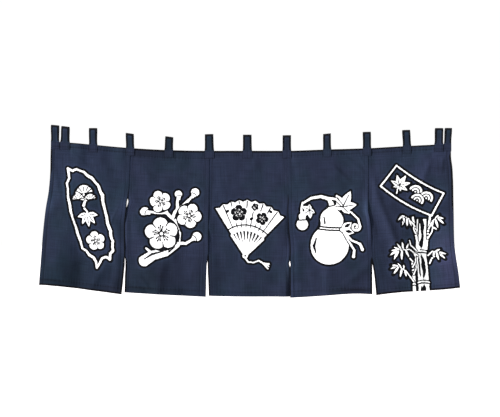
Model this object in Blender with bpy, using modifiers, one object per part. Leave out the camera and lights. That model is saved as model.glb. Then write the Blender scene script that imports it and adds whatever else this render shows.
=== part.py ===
"""A five-panel noren: a split shop curtain of navy cotton, hung by thirteen cloth loops.

The curtain is seen from the front, along +Y, with +X to the right and +Z up.
The origin is the middle of the rod's place in the middle loop.  All sizes are metres.

A panel is one hemmed sheet.  A point on it is found by two fractions: `across`, from the
panel's left side (0) to its right side (1), and `down`, from its top edge (0) to its
hem (1).  Neighbouring panels lap by a few millimetres and are sewn for the top third;
below that each hangs free, so the slits open, and each sheet turns and folds by itself.
"""

from collections import namedtuple

import bmesh
import bpy
import numpy as np

# ---- The cloth ---------------------------------------------------------------------------
PANEL_WIDTH = 0.340       # finished width of one panel
PANEL_DROP = 0.600        # finished drop of one panel, from top edge to hem
CLOTH = 0.0014            # thickness of the single cloth
HEM_CLOTH = 0.0020        # thickness where the cloth is turned under and sewn down
TOP_HEM = 0.023
SIDE_HEM = 0.018
FOOT_HEM = 0.0195
HEM_STEP = 0.003          # width over which a hem thins out to single cloth
GAP = 0.0003              # clearance that neighbouring pieces keep
SEWN = 0.33               # fraction of the drop over which neighbours are sewn together
LAP_LINE = 0.0055         # a mesh line just inside the lap of the sewn sides
LAYER = 0.5 * (HEM_CLOTH + GAP)   # how far each lapped side stands off the curtain's middle

# ---- The loops ---------------------------------------------------------------------------
STRAP = 0.0016            # thickness of a loop's doubled strap
LOOP_WIDTH = 0.031
NARROW_LOOP = 0.0285      # the last loop on the right is cut narrower
EYE_RADIUS = 0.0125       # outer radius of the eye that the rod goes through
LEG = 0.032               # how far both legs of a loop reach down over the cloth
NECK = 0.004              # straight stretch of a leg above the cloth's edge
FLAT_HALF = 0.019         # half the width that stays flat where a loop grips the cloth
FLAT_DOWN = 0.075         # fraction of the drop that stays flat under a loop

# ---- Mesh fineness -----------------------------------------------------------------------
COLUMNS = 14              # even spaces between a panel's side hems
ROWS = 25                 # even spaces between its top hem and its foot hem
EYE_STEPS = 12
NECK_STEPS = 4

NAVY = (0.030, 0.040, 0.070)
NAVY_STRAP = (0.025, 0.036, 0.060)
COTTON_ROUGHNESS = 0.92

# A loop hangs from the rod at (top_x, top_z), its highest point, and meets the cloth's top
# edge at (foot_x, foot_z).  slant is the rise of its top from left to right, and bow is how
# far the cloth's top edge stands out towards the viewer before the next loop.
Loop = namedtuple("Loop", "name foot_x foot_z top_x top_z slant width bow")
LOOPS = (
    Loop("tab_01", -0.8015, -0.0172, -0.8015, 0.0526, -0.09, LOOP_WIDTH, 0.000),
    Loop("tab_02", -0.7580, -0.0196, -0.7580, 0.0470, -0.13, LOOP_WIDTH, 0.005),
    Loop("tab_03", -0.6427, -0.0297, -0.6427, 0.0402, 0.00, LOOP_WIDTH, -0.004),
    Loop("tab_04", -0.4885, -0.0434, -0.4902, 0.0180, -0.14, LOOP_WIDTH, 0.003),
    Loop("tab_05", -0.3250, -0.0522, -0.3250, 0.0041, -0.14, LOOP_WIDTH, -0.004),
    Loop("tab_06", -0.1592, -0.0551, -0.1592, 0.0149, 0.03, LOOP_WIDTH, 0.003),
    Loop("tab_07", 0.0000, -0.0550, 0.0000, 0.0125, 0.00, LOOP_WIDTH, -0.003),
    Loop("tab_08", 0.1652, -0.0551, 0.1652, 0.0104, 0.02, LOOP_WIDTH, 0.004),
    Loop("tab_09", 0.3327, -0.0495, 0.3327, 0.0168, 0.10, LOOP_WIDTH, -0.005),
    Loop("tab_10", 0.5005, -0.0444, 0.4994, 0.0244, 0.03, LOOP_WIDTH, 0.005),
    Loop("tab_11", 0.6677, -0.0350, 0.6642, 0.0323, 0.04, LOOP_WIDTH, 0.004),
    Loop("tab_12", 0.8003, -0.0281, 0.8003, 0.0402, 0.00, LOOP_WIDTH, 0.000),
    Loop("tab_13", 0.8392, -0.0252, 0.8392, 0.0405, 0.00, NARROW_LOOP, 0.000),
)

# A panel's own row: which way its left and right sides step at the lap (-1 lies in front
# and 1 behind), the heights of its foot's two corners, the rise of the foot between them,
# how far across the foot that rise is highest, and the height of one full wave along it.
Panel = namedtuple("Panel", "name left_layer right_layer left_foot right_foot foot_rise foot_peak "
                            "foot_wave")
PANELS = (
    Panel("panel_1", 0, -1, -0.6152, -0.6540, 0.0038, 0.25, 0.0),
    Panel("panel_2", 1, -1, -0.6459, -0.6644, -0.0010, 0.50, 0.0),
    Panel("panel_3", 1, 1, -0.6599, -0.6642, -0.0016, 0.25, 0.0),
    Panel("panel_4", -1, -1, -0.6680, -0.6541, 0.0060, 0.72, 0.0),
    Panel("panel_5", 1, 0, -0.6578, -0.6252, 0.0, 0.50, 0.0024),
)

# Where a panel's side runs: at each fraction of the drop its place across the curtain and
# how far it stands out towards the viewer.
Side = namedtuple("Side", "down x out")
LEFT_SIDES = {
    "panel_1": (Side(0.00, -0.8193, 0.000), Side(0.08, -0.8204, 0.000), Side(0.20, -0.8221, -0.003),
                Side(0.33, -0.8285, -0.008), Side(0.48, -0.8437, -0.012), Side(0.62, -0.8522, -0.007),
                Side(0.81, -0.8600, 0.004), Side(1.00, -0.8672, 0.010)),
    "panel_2": (Side(0.00, -0.4905, 0.000), Side(0.33, -0.5006, 0.000), Side(0.37, -0.4962, 0.000),
                Side(0.41, -0.5036, -0.001), Side(0.45, -0.5100, -0.001), Side(0.55, -0.5155, -0.001),
                Side(0.66, -0.5150, -0.001), Side(0.74, -0.5126, -0.001), Side(0.785, -0.5086, -0.001),
                Side(0.835, -0.5088, -0.001), Side(0.87, -0.5103, 0.000), Side(1.00, -0.5120, 0.000)),
    "panel_3": (Side(0.00, -0.1617, 0.000), Side(0.33, -0.1640, 0.000), Side(0.45, -0.1660, -0.001),
                Side(0.60, -0.1668, -0.001), Side(0.70, -0.1668, -0.001), Side(0.742, -0.1663, -0.001),
                Side(0.775, -0.1655, -0.001), Side(0.83, -0.1648, -0.001), Side(0.89, -0.1630, -0.001),
                Side(1.00, -0.1606, 0.000)),
    "panel_4": (Side(0.00, 0.1640, 0.000), Side(0.33, 0.1694, 0.000), Side(0.40, 0.1680, 0.001),
                Side(0.47, 0.1700, 0.002), Side(0.54, 0.1722, 0.002), Side(0.61, 0.1765, 0.003),
                Side(0.68, 0.1785, 0.003), Side(0.748, 0.1778, 0.003), Side(0.773, 0.1804, 0.003),
                Side(0.800, 0.1780, 0.003), Side(1.00, 0.1792, 0.002)),
    "panel_5": (Side(0.00, 0.5000, 0.000), Side(0.20, 0.5020, 0.000), Side(0.33, 0.5006, 0.000),
                Side(0.42, 0.5000, -0.001), Side(0.49, 0.5068, -0.001), Side(0.56, 0.5118, -0.001),
                Side(0.70, 0.5155, -0.001), Side(0.765, 0.5186, -0.001), Side(0.80, 0.5236, 0.000),
                Side(0.87, 0.5303, 0.000), Side(1.00, 0.5382, 0.000)),
}
RIGHT_SIDES = {
    "panel_1": (Side(0.00, -0.4865, 0.000), Side(0.33, -0.4966, 0.000), Side(0.37, -0.5022, 0.001),
                Side(0.41, -0.5038, 0.003), Side(0.45, -0.5066, 0.003), Side(0.53, -0.5112, 0.002),
                Side(0.65, -0.5112, 0.001), Side(0.74, -0.5106, 0.000), Side(0.785, -0.5106, 0.000),
                Side(0.84, -0.5134, 0.000), Side(1.00, -0.5239, 0.001)),
    "panel_2": (Side(0.00, -0.1577, 0.000), Side(0.33, -0.1598, 0.000), Side(0.45, -0.1622, 0.001),
                Side(0.60, -0.1630, 0.002), Side(0.70, -0.1636, 0.001), Side(0.742, -0.1648, 0.001),
                Side(0.775, -0.1684, 0.000), Side(0.83, -0.1701, 0.000), Side(1.00, -0.1728, 0.000)),
    "panel_3": (Side(0.00, 0.1680, 0.000), Side(0.33, 0.1734, 0.000), Side(0.47, 0.1740, -0.001),
                Side(0.54, 0.1762, -0.001), Side(0.61, 0.1800, -0.001), Side(0.68, 0.1815, -0.001),
                Side(0.745, 0.1788, -0.001), Side(0.773, 0.1746, -0.001), Side(0.800, 0.1788, -0.001),
                Side(0.88, 0.1815, -0.001), Side(1.00, 0.1820, -0.002)),
    "panel_4": (Side(0.00, 0.5040, 0.000), Side(0.20, 0.5060, 0.000), Side(0.33, 0.5046, 0.000),
                Side(0.42, 0.5040, 0.003), Side(0.49, 0.5115, 0.003), Side(0.56, 0.5164, 0.003),
                Side(0.70, 0.5196, 0.002), Side(0.79, 0.5218, 0.001), Side(1.00, 0.5218, 0.000)),
    "panel_5": (Side(0.00, 0.8505, 0.000), Side(0.08, 0.8500, 0.000), Side(0.18, 0.8565, 0.000),
                Side(0.32, 0.8596, 0.001), Side(0.50, 0.8601, 0.004), Side(0.60, 0.8594, 0.006),
                Side(0.67, 0.8600, 0.008), Side(0.78, 0.8668, 0.009), Side(0.88, 0.8764, 0.009),
                Side(1.00, 0.8858, 0.006)),
}

# A fold is a soft ridge (or, with a height below zero, a trough) along a straight line over
# the flat cloth, from one point to another.  reach is its half width.
Fold = namedtuple("Fold", "panel across_1 down_1 across_2 down_2 reach height")
FOLDS = (
    Fold("panel_1", 0.97, 0.22, 0.84, 0.66, 0.020, 0.0025),
    Fold("panel_1", 0.93, 0.50, 0.90, 1.05, 0.016, 0.004),
    Fold("panel_1", 0.82, 0.76, 0.60, 1.01, 0.016, 0.006),
    Fold("panel_1", 0.50, 0.62, 0.45, 1.15, 0.034, -0.008),
    Fold("panel_1", 0.24, 0.52, 0.22, 1.15, 0.040, 0.006),
    Fold("panel_2", 0.14, 0.46, 0.36, 0.92, 0.038, 0.008),
    Fold("panel_2", 0.50, 0.68, 0.36, 1.10, 0.024, 0.006),
    Fold("panel_2", 0.995, 0.26, 0.985, 0.78, 0.010, 0.0036),
    Fold("panel_2", 0.72, 0.62, 0.76, 1.15, 0.040, -0.006),
    Fold("panel_3", 0.46, 0.42, 0.42, 1.15, 0.050, 0.005),
    Fold("panel_3", 0.76, 0.45, 0.80, 1.15, 0.034, -0.004),
    Fold("panel_3", 0.16, 0.48, 0.12, 1.15, 0.030, -0.003),
    Fold("panel_3", 1.00, 0.44, 1.00, 0.62, 0.010, -0.005),
    Fold("panel_3", 1.00, 0.84, 1.00, 1.15, 0.013, -0.010),
    Fold("panel_4", 0.44, 0.62, 0.47, 1.15, 0.024, 0.007),
    Fold("panel_4", 0.60, 0.60, 0.66, 1.15, 0.050, 0.006),
    Fold("panel_4", 0.56, 0.98, 0.96, 0.80, 0.018, 0.004),
    Fold("panel_4", 0.995, 0.16, 0.985, 0.74, 0.010, 0.0055),
    Fold("panel_4", 0.52, 0.08, 0.88, 0.235, 0.013, -0.0025),
    Fold("panel_4", 0.14, 0.45, 0.20, 1.15, 0.030, -0.002),
    Fold("panel_5", 0.02, 0.15, 0.345, 0.77, 0.018, 0.011),
    Fold("panel_5", 0.15, 0.20, 0.46, 0.84, 0.044, 0.009),
    Fold("panel_5", 0.03, 0.34, 0.10, 0.86, 0.012, -0.003),
    Fold("panel_5", 0.97, 0.42, 0.98, 1.15, 0.052, 0.015),
    Fold("panel_5", 0.68, 0.44, 0.66, 1.15, 0.040, -0.010),
    Fold("panel_5", 0.80, 0.04, 0.62, 0.26, 0.014, 0.004),
)


# ---- Curves through tables ---------------------------------------------------------------
def ease(start, end, value):
    """Rise smoothly from 0 at start to 1 at end."""
    step = np.clip((value - start) / (end - start), 0.0, 1.0)
    return step * step * (3.0 - 2.0 * step)


def smooth_through(places, values, at):
    """Read, at any place, the smooth curve through the given values, which never overshoots.

    Its rate at each value is the harmonic mean of the slopes on both sides, or none where
    the values turn.
    """
    places = np.asarray(places, dtype=float)
    values = np.asarray(values, dtype=float)
    slopes = np.diff(values) / np.diff(places)
    before, after = slopes[:-1], slopes[1:]
    alike = before * after > 0.0
    total = np.where(alike, before + after, 1.0)
    inner_rates = np.where(alike, 2.0 * before * after / total, 0.0)
    rates = np.concatenate((slopes[:1], inner_rates, slopes[-1:]))
    index = np.clip(np.searchsorted(places, at, side="right") - 1, 0, len(places) - 2)
    span = places[index + 1] - places[index]
    t = (at - places[index]) / span
    start = values[index] * (2.0 * t**3 - 3.0 * t**2 + 1.0)
    end = values[index + 1] * (3.0 * t**2 - 2.0 * t**3)
    leave = rates[index] * span * (t**3 - 2.0 * t**2 + t)
    arrive = rates[index + 1] * span * (t**3 - t**2)
    return start + end + leave + arrive


def side_curve(rows, down, column):
    """Read one column of a side's table at any fraction of the drop."""
    places = [row.down for row in rows]
    values = [getattr(row, column) for row in rows]
    return smooth_through(places, values, down)


def top_edge_height(x):
    """Height of the curtain's top edge, which sags from loop to loop like a long smile."""
    feet = [loop.foot_x for loop in LOOPS]
    heights = [loop.foot_z for loop in LOOPS]
    return smooth_through(feet, heights, x)


def top_edge_bow(x):
    """How far the top edge stands out between the loops; it is flat where a loop grips it."""
    out = np.zeros_like(x)
    for this, following in zip(LOOPS[:-1], LOOPS[1:]):
        start = this.foot_x + FLAT_HALF
        end = following.foot_x - FLAT_HALF
        if this.bow == 0.0:
            continue
        t = np.clip((x - start) / (end - start), 0.0, 1.0)
        out += this.bow * np.sin(np.pi * t) ** 2
    return out


# ---- The panels --------------------------------------------------------------------------
def fold_depth(fold, across, down):
    """Height of one fold over the flat cloth: a soft bell across it, easing in along it."""
    x = across * PANEL_WIDTH
    z = down * PANEL_DROP
    start = np.array((fold.across_1 * PANEL_WIDTH, fold.down_1 * PANEL_DROP))
    run = np.array((fold.across_2 * PANEL_WIDTH, fold.down_2 * PANEL_DROP)) - start
    length = np.hypot(*run)
    along = ((x - start[0]) * run[0] + (z - start[1]) * run[1]) / length
    aside = ((x - start[0]) * run[1] - (z - start[1]) * run[0]) / length
    rise = ease(-0.25, 0.45, along / length) * ease(1.25, 0.70, along / length)
    return fold.height * np.exp(-((aside / fold.reach) ** 2)) * rise


def panel_points(panel, across, down):
    """Place points of a panel's middle surface, given as arrays of across and down."""
    left_x = side_curve(LEFT_SIDES[panel.name], down, "x")
    right_x = side_curve(RIGHT_SIDES[panel.name], down, "x")
    x = left_x + (right_x - left_x) * across

    left_top = LEFT_SIDES[panel.name][0].x
    right_top = RIGHT_SIDES[panel.name][0].x
    top = top_edge_height(left_top + (right_top - left_top) * across)
    foot = panel.left_foot + (panel.right_foot - panel.left_foot) * across
    skewed = across ** (np.log(0.5) / np.log(panel.foot_peak))
    foot = foot + panel.foot_rise * np.sin(np.pi * skewed)
    foot = foot + panel.foot_wave * np.sin(2.0 * np.pi * across)
    z = top + (foot - top) * down

    left_out = side_curve(LEFT_SIDES[panel.name], down, "out")
    right_out = side_curve(RIGHT_SIDES[panel.name], down, "out")
    out = left_out * ease(0.35, 0.0, across) + right_out * ease(0.65, 1.0, across)
    out = out + top_edge_bow(x) * ease(0.42, 0.02, down)
    folds = np.zeros_like(x)
    for fold in FOLDS:
        if fold.panel == panel.name:
            folds += fold_depth(fold, across, down)
    from_side = np.minimum(across, 1.0 - across)
    free = ease(0.0, 0.10, from_side)
    free = free + (1.0 - free) * ease(SEWN, SEWN + 0.25, down)
    out = out + folds * free * ease(FLAT_DOWN, FLAT_DOWN + 0.07, down)

    layer = panel.left_layer + (panel.right_layer - panel.left_layer) * across
    y = LAYER * layer - out
    return np.stack((x, y, z), axis=-1)


def stations(near_lines, far_lines, length, steps):
    """Fractions along one direction of a panel: the lines of both hems, and even steps between.

    A hem's lines are distances from its own edge, the hem's inner edge last.
    """
    near, far = np.array(near_lines), np.array(far_lines)
    inner = np.linspace(near[-1] + HEM_STEP, length - far[-1] - HEM_STEP, steps + 1)
    return np.concatenate((near, inner, length - far[::-1])) / length


def unit_grid(columns, rows):
    """A flat grid of the modelling tools, with each corner's column and row number."""
    mesh = bpy.data.meshes.new("grid")
    work = bmesh.new()
    bmesh.ops.create_grid(work, x_segments=columns, y_segments=rows, size=0.5)
    work.to_mesh(mesh)
    work.free()
    flat = np.zeros(len(mesh.vertices) * 3, dtype=np.float32)
    mesh.vertices.foreach_get("co", flat)
    flat = flat.reshape(-1, 3)
    column = np.rint((flat[:, 0] + 0.5) * columns).astype(int)
    row = np.rint((0.5 - flat[:, 1]) * rows).astype(int)
    return mesh, column, row


def set_points(mesh, points):
    """Move a mesh's corners to the given points."""
    mesh.vertices.foreach_set("co", points.astype(np.float32).ravel())
    mesh.update()


def cotton(name, colour):
    """Matt dyed cotton."""
    material = bpy.data.materials.new(name)
    material.use_nodes = True
    shader = material.node_tree.nodes["Principled BSDF"]
    shader.inputs["Base Color"].default_value = (*colour, 1.0)
    shader.inputs["Roughness"].default_value = COTTON_ROUGHNESS
    shader.inputs["Metallic"].default_value = 0.0
    return material


def sheet_object(name, mesh, colour, collection):
    """Name a mesh, give it its material and put it in the curtain's collection."""
    mesh.name = name
    mesh.materials.append(cotton(name + "_cotton", colour))
    item = bpy.data.objects.new(name, mesh)
    collection.objects.link(item)
    return item


def build_panel(panel, collection):
    """One hemmed sheet: a grid drawn to its hanging shape, thickened, with thicker hems."""
    side_lines = (0.0, LAP_LINE, SIDE_HEM)
    across = stations(side_lines, side_lines, PANEL_WIDTH, COLUMNS)
    down = stations((0.0, TOP_HEM), (0.0, FOOT_HEM), PANEL_DROP, ROWS)
    mesh, column, row = unit_grid(len(across) - 1, len(down) - 1)
    set_points(mesh, panel_points(panel, across[column], down[row]))
    item = sheet_object(panel.name, mesh, NAVY, collection)

    hem = item.vertex_groups.new(name="hem")
    last_column = len(across) - 1
    last_row = len(down) - 1
    in_hem = (column <= 2) | (column >= last_column - 2) | (row <= 1) | (row >= last_row - 1)
    hem.add(np.flatnonzero(in_hem).tolist(), 1.0, "REPLACE")
    shell = item.modifiers.new("thickness", "SOLIDIFY")
    shell.thickness = HEM_CLOTH
    shell.offset = 0.0
    shell.vertex_group = hem.name
    shell.thickness_vertex_group = CLOTH / HEM_CLOTH
    return item


# ---- The loops ---------------------------------------------------------------------------
def covered_layers(loop):
    """Half the thickness of cloth that a loop straddles, and the middle of that cloth."""
    for this, following in zip(PANELS[:-1], PANELS[1:]):
        seam = 0.5 * (RIGHT_SIDES[this.name][0].x + LEFT_SIDES[following.name][0].x)
        if abs(loop.foot_x - seam) < 0.5 * LOOP_WIDTH:
            return HEM_CLOTH + 0.5 * GAP, 0.0
    for panel in PANELS:
        left = LEFT_SIDES[panel.name][0].x
        right = RIGHT_SIDES[panel.name][0].x
        if left - 0.001 <= loop.foot_x <= right + 0.001:
            across = (loop.foot_x - left) / (right - left)
            layer = panel.left_layer + (panel.right_layer - panel.left_layer) * across
            return 0.5 * HEM_CLOTH, LAYER * layer
    raise ValueError(f"{loop.name} stands over no panel")


def loop_path(loop):
    """Side view of a loop: up the front, round the eye, and down the back to the same level.

    Gives the strap's middle line as two arrays: depth (y) and height (z) above the cloth's
    top edge.  The eye is centred on the rod, and the legs on the cloth that they straddle.
    """
    half_cloth, middle = covered_layers(loop)
    leg_out = half_cloth + GAP + 0.0001 + 0.5 * STRAP
    radius = EYE_RADIUS - 0.5 * STRAP
    centre = loop.top_z - loop.foot_z - EYE_RADIUS
    leg_z = np.array((-LEG, -0.5 * LEG, 0.0, NECK))
    leg_y = np.full(leg_z.shape, leg_out)
    rise = np.linspace(0.0, 1.0, NECK_STEPS + 2)[1:-1]
    neck_z = NECK + (centre - NECK) * rise
    neck_y = leg_out + (radius - leg_out) * ease(0.0, 1.0, rise)
    turn = np.linspace(0.0, 0.5 * np.pi, EYE_STEPS // 2 + 1)
    eye_z = centre + radius * np.sin(turn)
    eye_y = radius * np.cos(turn)
    half_y = np.concatenate((leg_y, neck_y, eye_y))
    half_z = np.concatenate((leg_z, neck_z, eye_z))
    shift = middle * ease(centre, NECK, half_z)
    y = np.concatenate((shift - half_y, (shift + half_y)[-2::-1]))
    z = np.concatenate((half_z, half_z[-2::-1]))
    return y, z


def build_loop(loop, collection):
    """One strap, folded over the rod's place and straddling the curtain's top hem."""
    y, z = loop_path(loop)
    mesh, column, row = unit_grid(1, len(y) - 1)
    aside = (column - 0.5) * loop.width
    lift = z[row] / (loop.top_z - loop.foot_z)
    x = loop.foot_x + (loop.top_x - loop.foot_x) * np.clip(lift, 0.0, 1.0) + aside
    slope = loop.slant * np.clip(lift, 0.0, 1.0)
    points = np.stack((x, y[::-1][row], loop.foot_z + z[::-1][row] + slope * aside), axis=-1)
    set_points(mesh, points)
    item = sheet_object(loop.name, mesh, NAVY_STRAP, collection)
    shell = item.modifiers.new("thickness", "SOLIDIFY")
    shell.thickness = STRAP
    shell.offset = 0.0
    shell.use_even_offset = True
    return item


# ---- The curtain -------------------------------------------------------------------------
def clear_scene():
    """Start from nothing, keeping the file open."""
    for item in list(bpy.data.objects):
        bpy.data.objects.remove(item, do_unlink=True)


def build_curtain():
    """All panels and loops, in one collection."""
    collection = bpy.data.collections.new("noren")
    bpy.context.scene.collection.children.link(collection)
    for panel in PANELS:
        build_panel(panel, collection)
    for loop in LOOPS:
        build_loop(loop, collection)


clear_scene()
build_curtain()
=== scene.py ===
# %% [markdown]
# # A five-panel noren
#
# A noren is the split curtain of a Japanese shop door. This one is five widths of navy cotton,
# hemmed all round, lapped and sewn to each other over the top third and free below. Thirteen
# cloth loops along the top edge take the rod.
#
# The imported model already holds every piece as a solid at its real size: `panel_1` to
# `panel_5` and `tab_01` to `tab_13`. This script dresses it. Each plain solid is replaced by a
# fine sheet that follows the same hanging shape, with hems, creases, stitches and dye.

# %% Load the frame
import math
from collections import namedtuple

import bpy
import numpy as np
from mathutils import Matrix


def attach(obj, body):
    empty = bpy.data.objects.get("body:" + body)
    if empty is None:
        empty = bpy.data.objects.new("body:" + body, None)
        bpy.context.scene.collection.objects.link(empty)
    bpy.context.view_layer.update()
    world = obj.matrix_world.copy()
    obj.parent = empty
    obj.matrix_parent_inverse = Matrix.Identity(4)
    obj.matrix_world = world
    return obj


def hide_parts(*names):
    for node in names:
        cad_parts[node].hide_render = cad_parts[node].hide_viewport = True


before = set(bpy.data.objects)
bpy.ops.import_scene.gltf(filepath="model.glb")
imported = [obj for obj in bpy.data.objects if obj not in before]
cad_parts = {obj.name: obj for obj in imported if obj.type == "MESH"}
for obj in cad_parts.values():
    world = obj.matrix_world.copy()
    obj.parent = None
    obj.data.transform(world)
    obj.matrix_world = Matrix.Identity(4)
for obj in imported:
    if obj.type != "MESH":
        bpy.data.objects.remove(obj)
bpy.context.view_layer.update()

print("solids to dress:", len(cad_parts))

# %% [markdown]
# ## The hanging shape
#
# A point on a panel is found by two fractions: `across`, from its left side to its right
# side, and `down`, from its top edge to its hem. Short tables say where the sides run, how
# far they stand out, and where the loops hold the top edge. A smooth curve is read through
# each table column, and the panel is spanned between its two sides. It is the construction
# that the solids were made with, so the fine sheet lies in the same place as the solid.

# %% Sizes of the cloth
PANEL_WIDTH = 0.340
PANEL_DROP = 0.600
SIDE_HEM = 0.018
HEM_THICK = 0.0013        # two turned layers and the front one, pressed
GAP = 0.0001              # air between two lapped panels
LAYER = 0.5 * (HEM_THICK + GAP)
SEWN = 0.33               # share of the drop over which neighbours are sewn together
LOOP_WIDTH = 0.031
EYE_RADIUS = 0.0125
LEG = 0.032               # how far down the legs of a loop reach over the cloth
NECK = 0.004              # how far above the cloth the legs start to part
STRAP = 0.0016            # thickness of the doubled strap
FLAT_HALF = 0.019         # half the length of top edge that a loop holds flat
FLAT_DOWN = 0.075         # share of the drop that it holds flat

# %% Tables of loops, panels and sides
# The rows of the tables are in thousandths: millimetres, or thousandths of a panel's width or drop.


def rows_of(kind, rows):
    """Rows of a table in thousandths as named rows in metres and shares."""
    return [kind(*(value / 1000.0 for value in row)) for row in rows]


def by_panel(kind, table):
    """The same for a table that has its rows under the names of the panels."""
    return {name: rows_of(kind, rows) for name, rows in table.items()}


Loop = namedtuple("Loop", "foot_x foot_z top_x top_z slant width bow name", defaults=("",))
LOOPS = rows_of(Loop, (
    (-801.5, -17.2, -801.5, 52.6, -90, 31, 0), (-758, -19.6, -758, 47, -130, 31, 5),
    (-642.7, -29.7, -642.7, 40.2, 0, 31, -4), (-488.5, -43.4, -490.2, 18, -140, 31, 3),
    (-325, -52.2, -325, 4.1, -140, 31, -4), (-159.2, -55.1, -159.2, 14.9, 30, 31, 3),
    (0, -55, 0, 12.5, 0, 31, -3), (165.2, -55.1, 165.2, 10.4, 20, 31, 4),
    (332.7, -49.5, 332.7, 16.8, 100, 31, -5), (500.5, -44.4, 499.4, 24.4, 30, 31, 5),
    (667.7, -35, 664.2, 32.3, 40, 31, 4), (800.3, -28.1, 800.3, 40.2, 0, 31, 0),
    (839.2, -25.2, 839.2, 40.5, 0, 28.5, 0),
))
LOOPS = [loop._replace(name="tab_%02d" % number) for number, loop in enumerate(LOOPS, 1)]

Panel = namedtuple("Panel", "left_layer right_layer left_foot right_foot foot_rise foot_peak "
                            "foot_wave name")
PANELS = [Panel(*row, "panel_%d" % number) for number, row in enumerate((
    (0, -1, -0.6152, -0.6540, 0.0038, 0.25, 0.0), (1, -1, -0.6459, -0.6644, -0.0010, 0.50, 0.0),
    (1, 1, -0.6599, -0.6642, -0.0016, 0.25, 0.0), (-1, -1, -0.6680, -0.6541, 0.0060, 0.72, 0.0),
    (1, 0, -0.6578, -0.6252, 0.0, 0.50, 0.0024),
), 1)]

Side = namedtuple("Side", "down x out")
LEFT_SIDES = by_panel(Side, {
    "panel_1": ((0, -819.3, 0), (80, -820.4, 0), (200, -822.1, -3), (330, -828.5, -8),
        (480, -843.7, -12), (620, -852.2, -7), (810, -860, 4), (1000, -867.2, 10)),
    "panel_2": ((0, -490.5, 0), (330, -500.6, 0), (370, -496.2, 0), (410, -503.6, -1),
        (450, -510, -1), (550, -515.5, -1), (660, -515, -1), (740, -512.6, -1), (785, -508.6, -1),
        (835, -508.8, -1), (870, -510.3, 0), (1000, -512, 0)),
    "panel_3": ((0, -161.7, 0), (330, -164, 0), (450, -166, -1), (600, -166.8, -1),
        (700, -166.8, -1), (742, -166.3, -1), (775, -165.5, -1), (830, -164.8, -1),
        (890, -163, -1), (1000, -160.6, 0)),
    "panel_4": ((0, 164, 0), (330, 169.4, 0), (400, 168, 1), (470, 170, 2), (540, 172.2, 2),
        (610, 176.5, 3), (680, 178.5, 3), (748, 177.8, 3), (773, 180.4, 3), (800, 178, 3),
        (1000, 179.2, 2)),
    "panel_5": ((0, 500, 0), (200, 502, 0), (330, 500.6, 0), (420, 500, -1), (490, 506.8, -1),
        (560, 511.8, -1), (700, 515.5, -1), (765, 518.6, -1), (800, 523.6, 0), (870, 530.3, 0),
        (1000, 538.2, 0)),
})
RIGHT_SIDES = by_panel(Side, {
    "panel_1": ((0, -486.5, 0), (330, -496.6, 0), (370, -502.2, 1), (410, -503.8, 3),
        (450, -506.6, 3), (530, -511.2, 2), (650, -511.2, 1), (740, -510.6, 0), (785, -510.6, 0),
        (840, -513.4, 0), (1000, -523.9, 1)),
    "panel_2": ((0, -157.7, 0), (330, -159.8, 0), (450, -162.2, 1), (600, -163, 2),
        (700, -163.6, 1), (742, -164.8, 1), (775, -168.4, 0), (830, -170.1, 0), (1000, -172.8, 0)),
    "panel_3": ((0, 168, 0), (330, 173.4, 0), (470, 174, -1), (540, 176.2, -1), (610, 180, -1),
        (680, 181.5, -1), (745, 178.8, -1), (773, 174.6, -1), (800, 178.8, -1), (880, 181.5, -1),
        (1000, 182, -2)),
    "panel_4": ((0, 504, 0), (200, 506, 0), (330, 504.6, 0), (420, 504, 3), (490, 511.5, 3),
        (560, 516.4, 3), (700, 519.6, 2), (790, 521.8, 1), (1000, 521.8, 0)),
    "panel_5": ((0, 850.5, 0), (80, 850, 0), (180, 856.5, 0), (320, 859.6, 1), (500, 860.1, 4),
        (600, 859.4, 6), (670, 860, 8), (780, 866.8, 9), (880, 876.4, 9), (1000, 885.8, 6)),
})
print("loops:", len(LOOPS), " panels:", len(PANELS))

# %% [markdown]
# ## Folds and creases
#
# A fold is a soft ridge, or a trough where its height is below zero, along a straight line
# over the flat cloth. The broad folds are those of the solids. The creases are narrower: they
# come from packing, from the pull of the loops and from the ends of the slits. Both kinds
# are listed one by one, because a real curtain's folds are uneven.

# %% Tables of folds and creases
Fold = namedtuple("Fold", "across_1 down_1 across_2 down_2 reach height")
FOLDS = by_panel(Fold, {
    "panel_1": ((970, 220, 840, 660, 20, 2.5), (930, 500, 900, 1050, 16, 4),
        (820, 760, 600, 1010, 16, 6), (500, 620, 450, 1150, 34, -8), (240, 520, 220, 1150, 40, 6)),
    "panel_2": ((140, 460, 360, 920, 38, 8), (500, 680, 360, 1100, 24, 6),
        (995, 260, 985, 780, 10, 3.6), (720, 620, 760, 1150, 40, -6)),
    "panel_3": ((460, 420, 420, 1150, 50, 5), (760, 450, 800, 1150, 34, -4),
        (160, 480, 120, 1150, 30, -3), (1000, 440, 1000, 620, 10, -5),
        (1000, 840, 1000, 1150, 13, -10)),
    "panel_4": ((440, 620, 470, 1150, 24, 7), (600, 600, 660, 1150, 50, 6),
        (560, 980, 960, 800, 18, 4), (995, 160, 985, 740, 10, 5.5), (520, 80, 880, 235, 13, -2.5),
        (140, 450, 200, 1150, 30, -2)),
    "panel_5": ((20, 150, 345, 770, 18, 11), (150, 200, 460, 840, 44, 9),
        (30, 340, 100, 860, 12, -3), (970, 420, 980, 1150, 52, 15), (680, 440, 660, 1150, 40, -10),
        (800, 40, 620, 260, 14, 4)),
})
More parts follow.
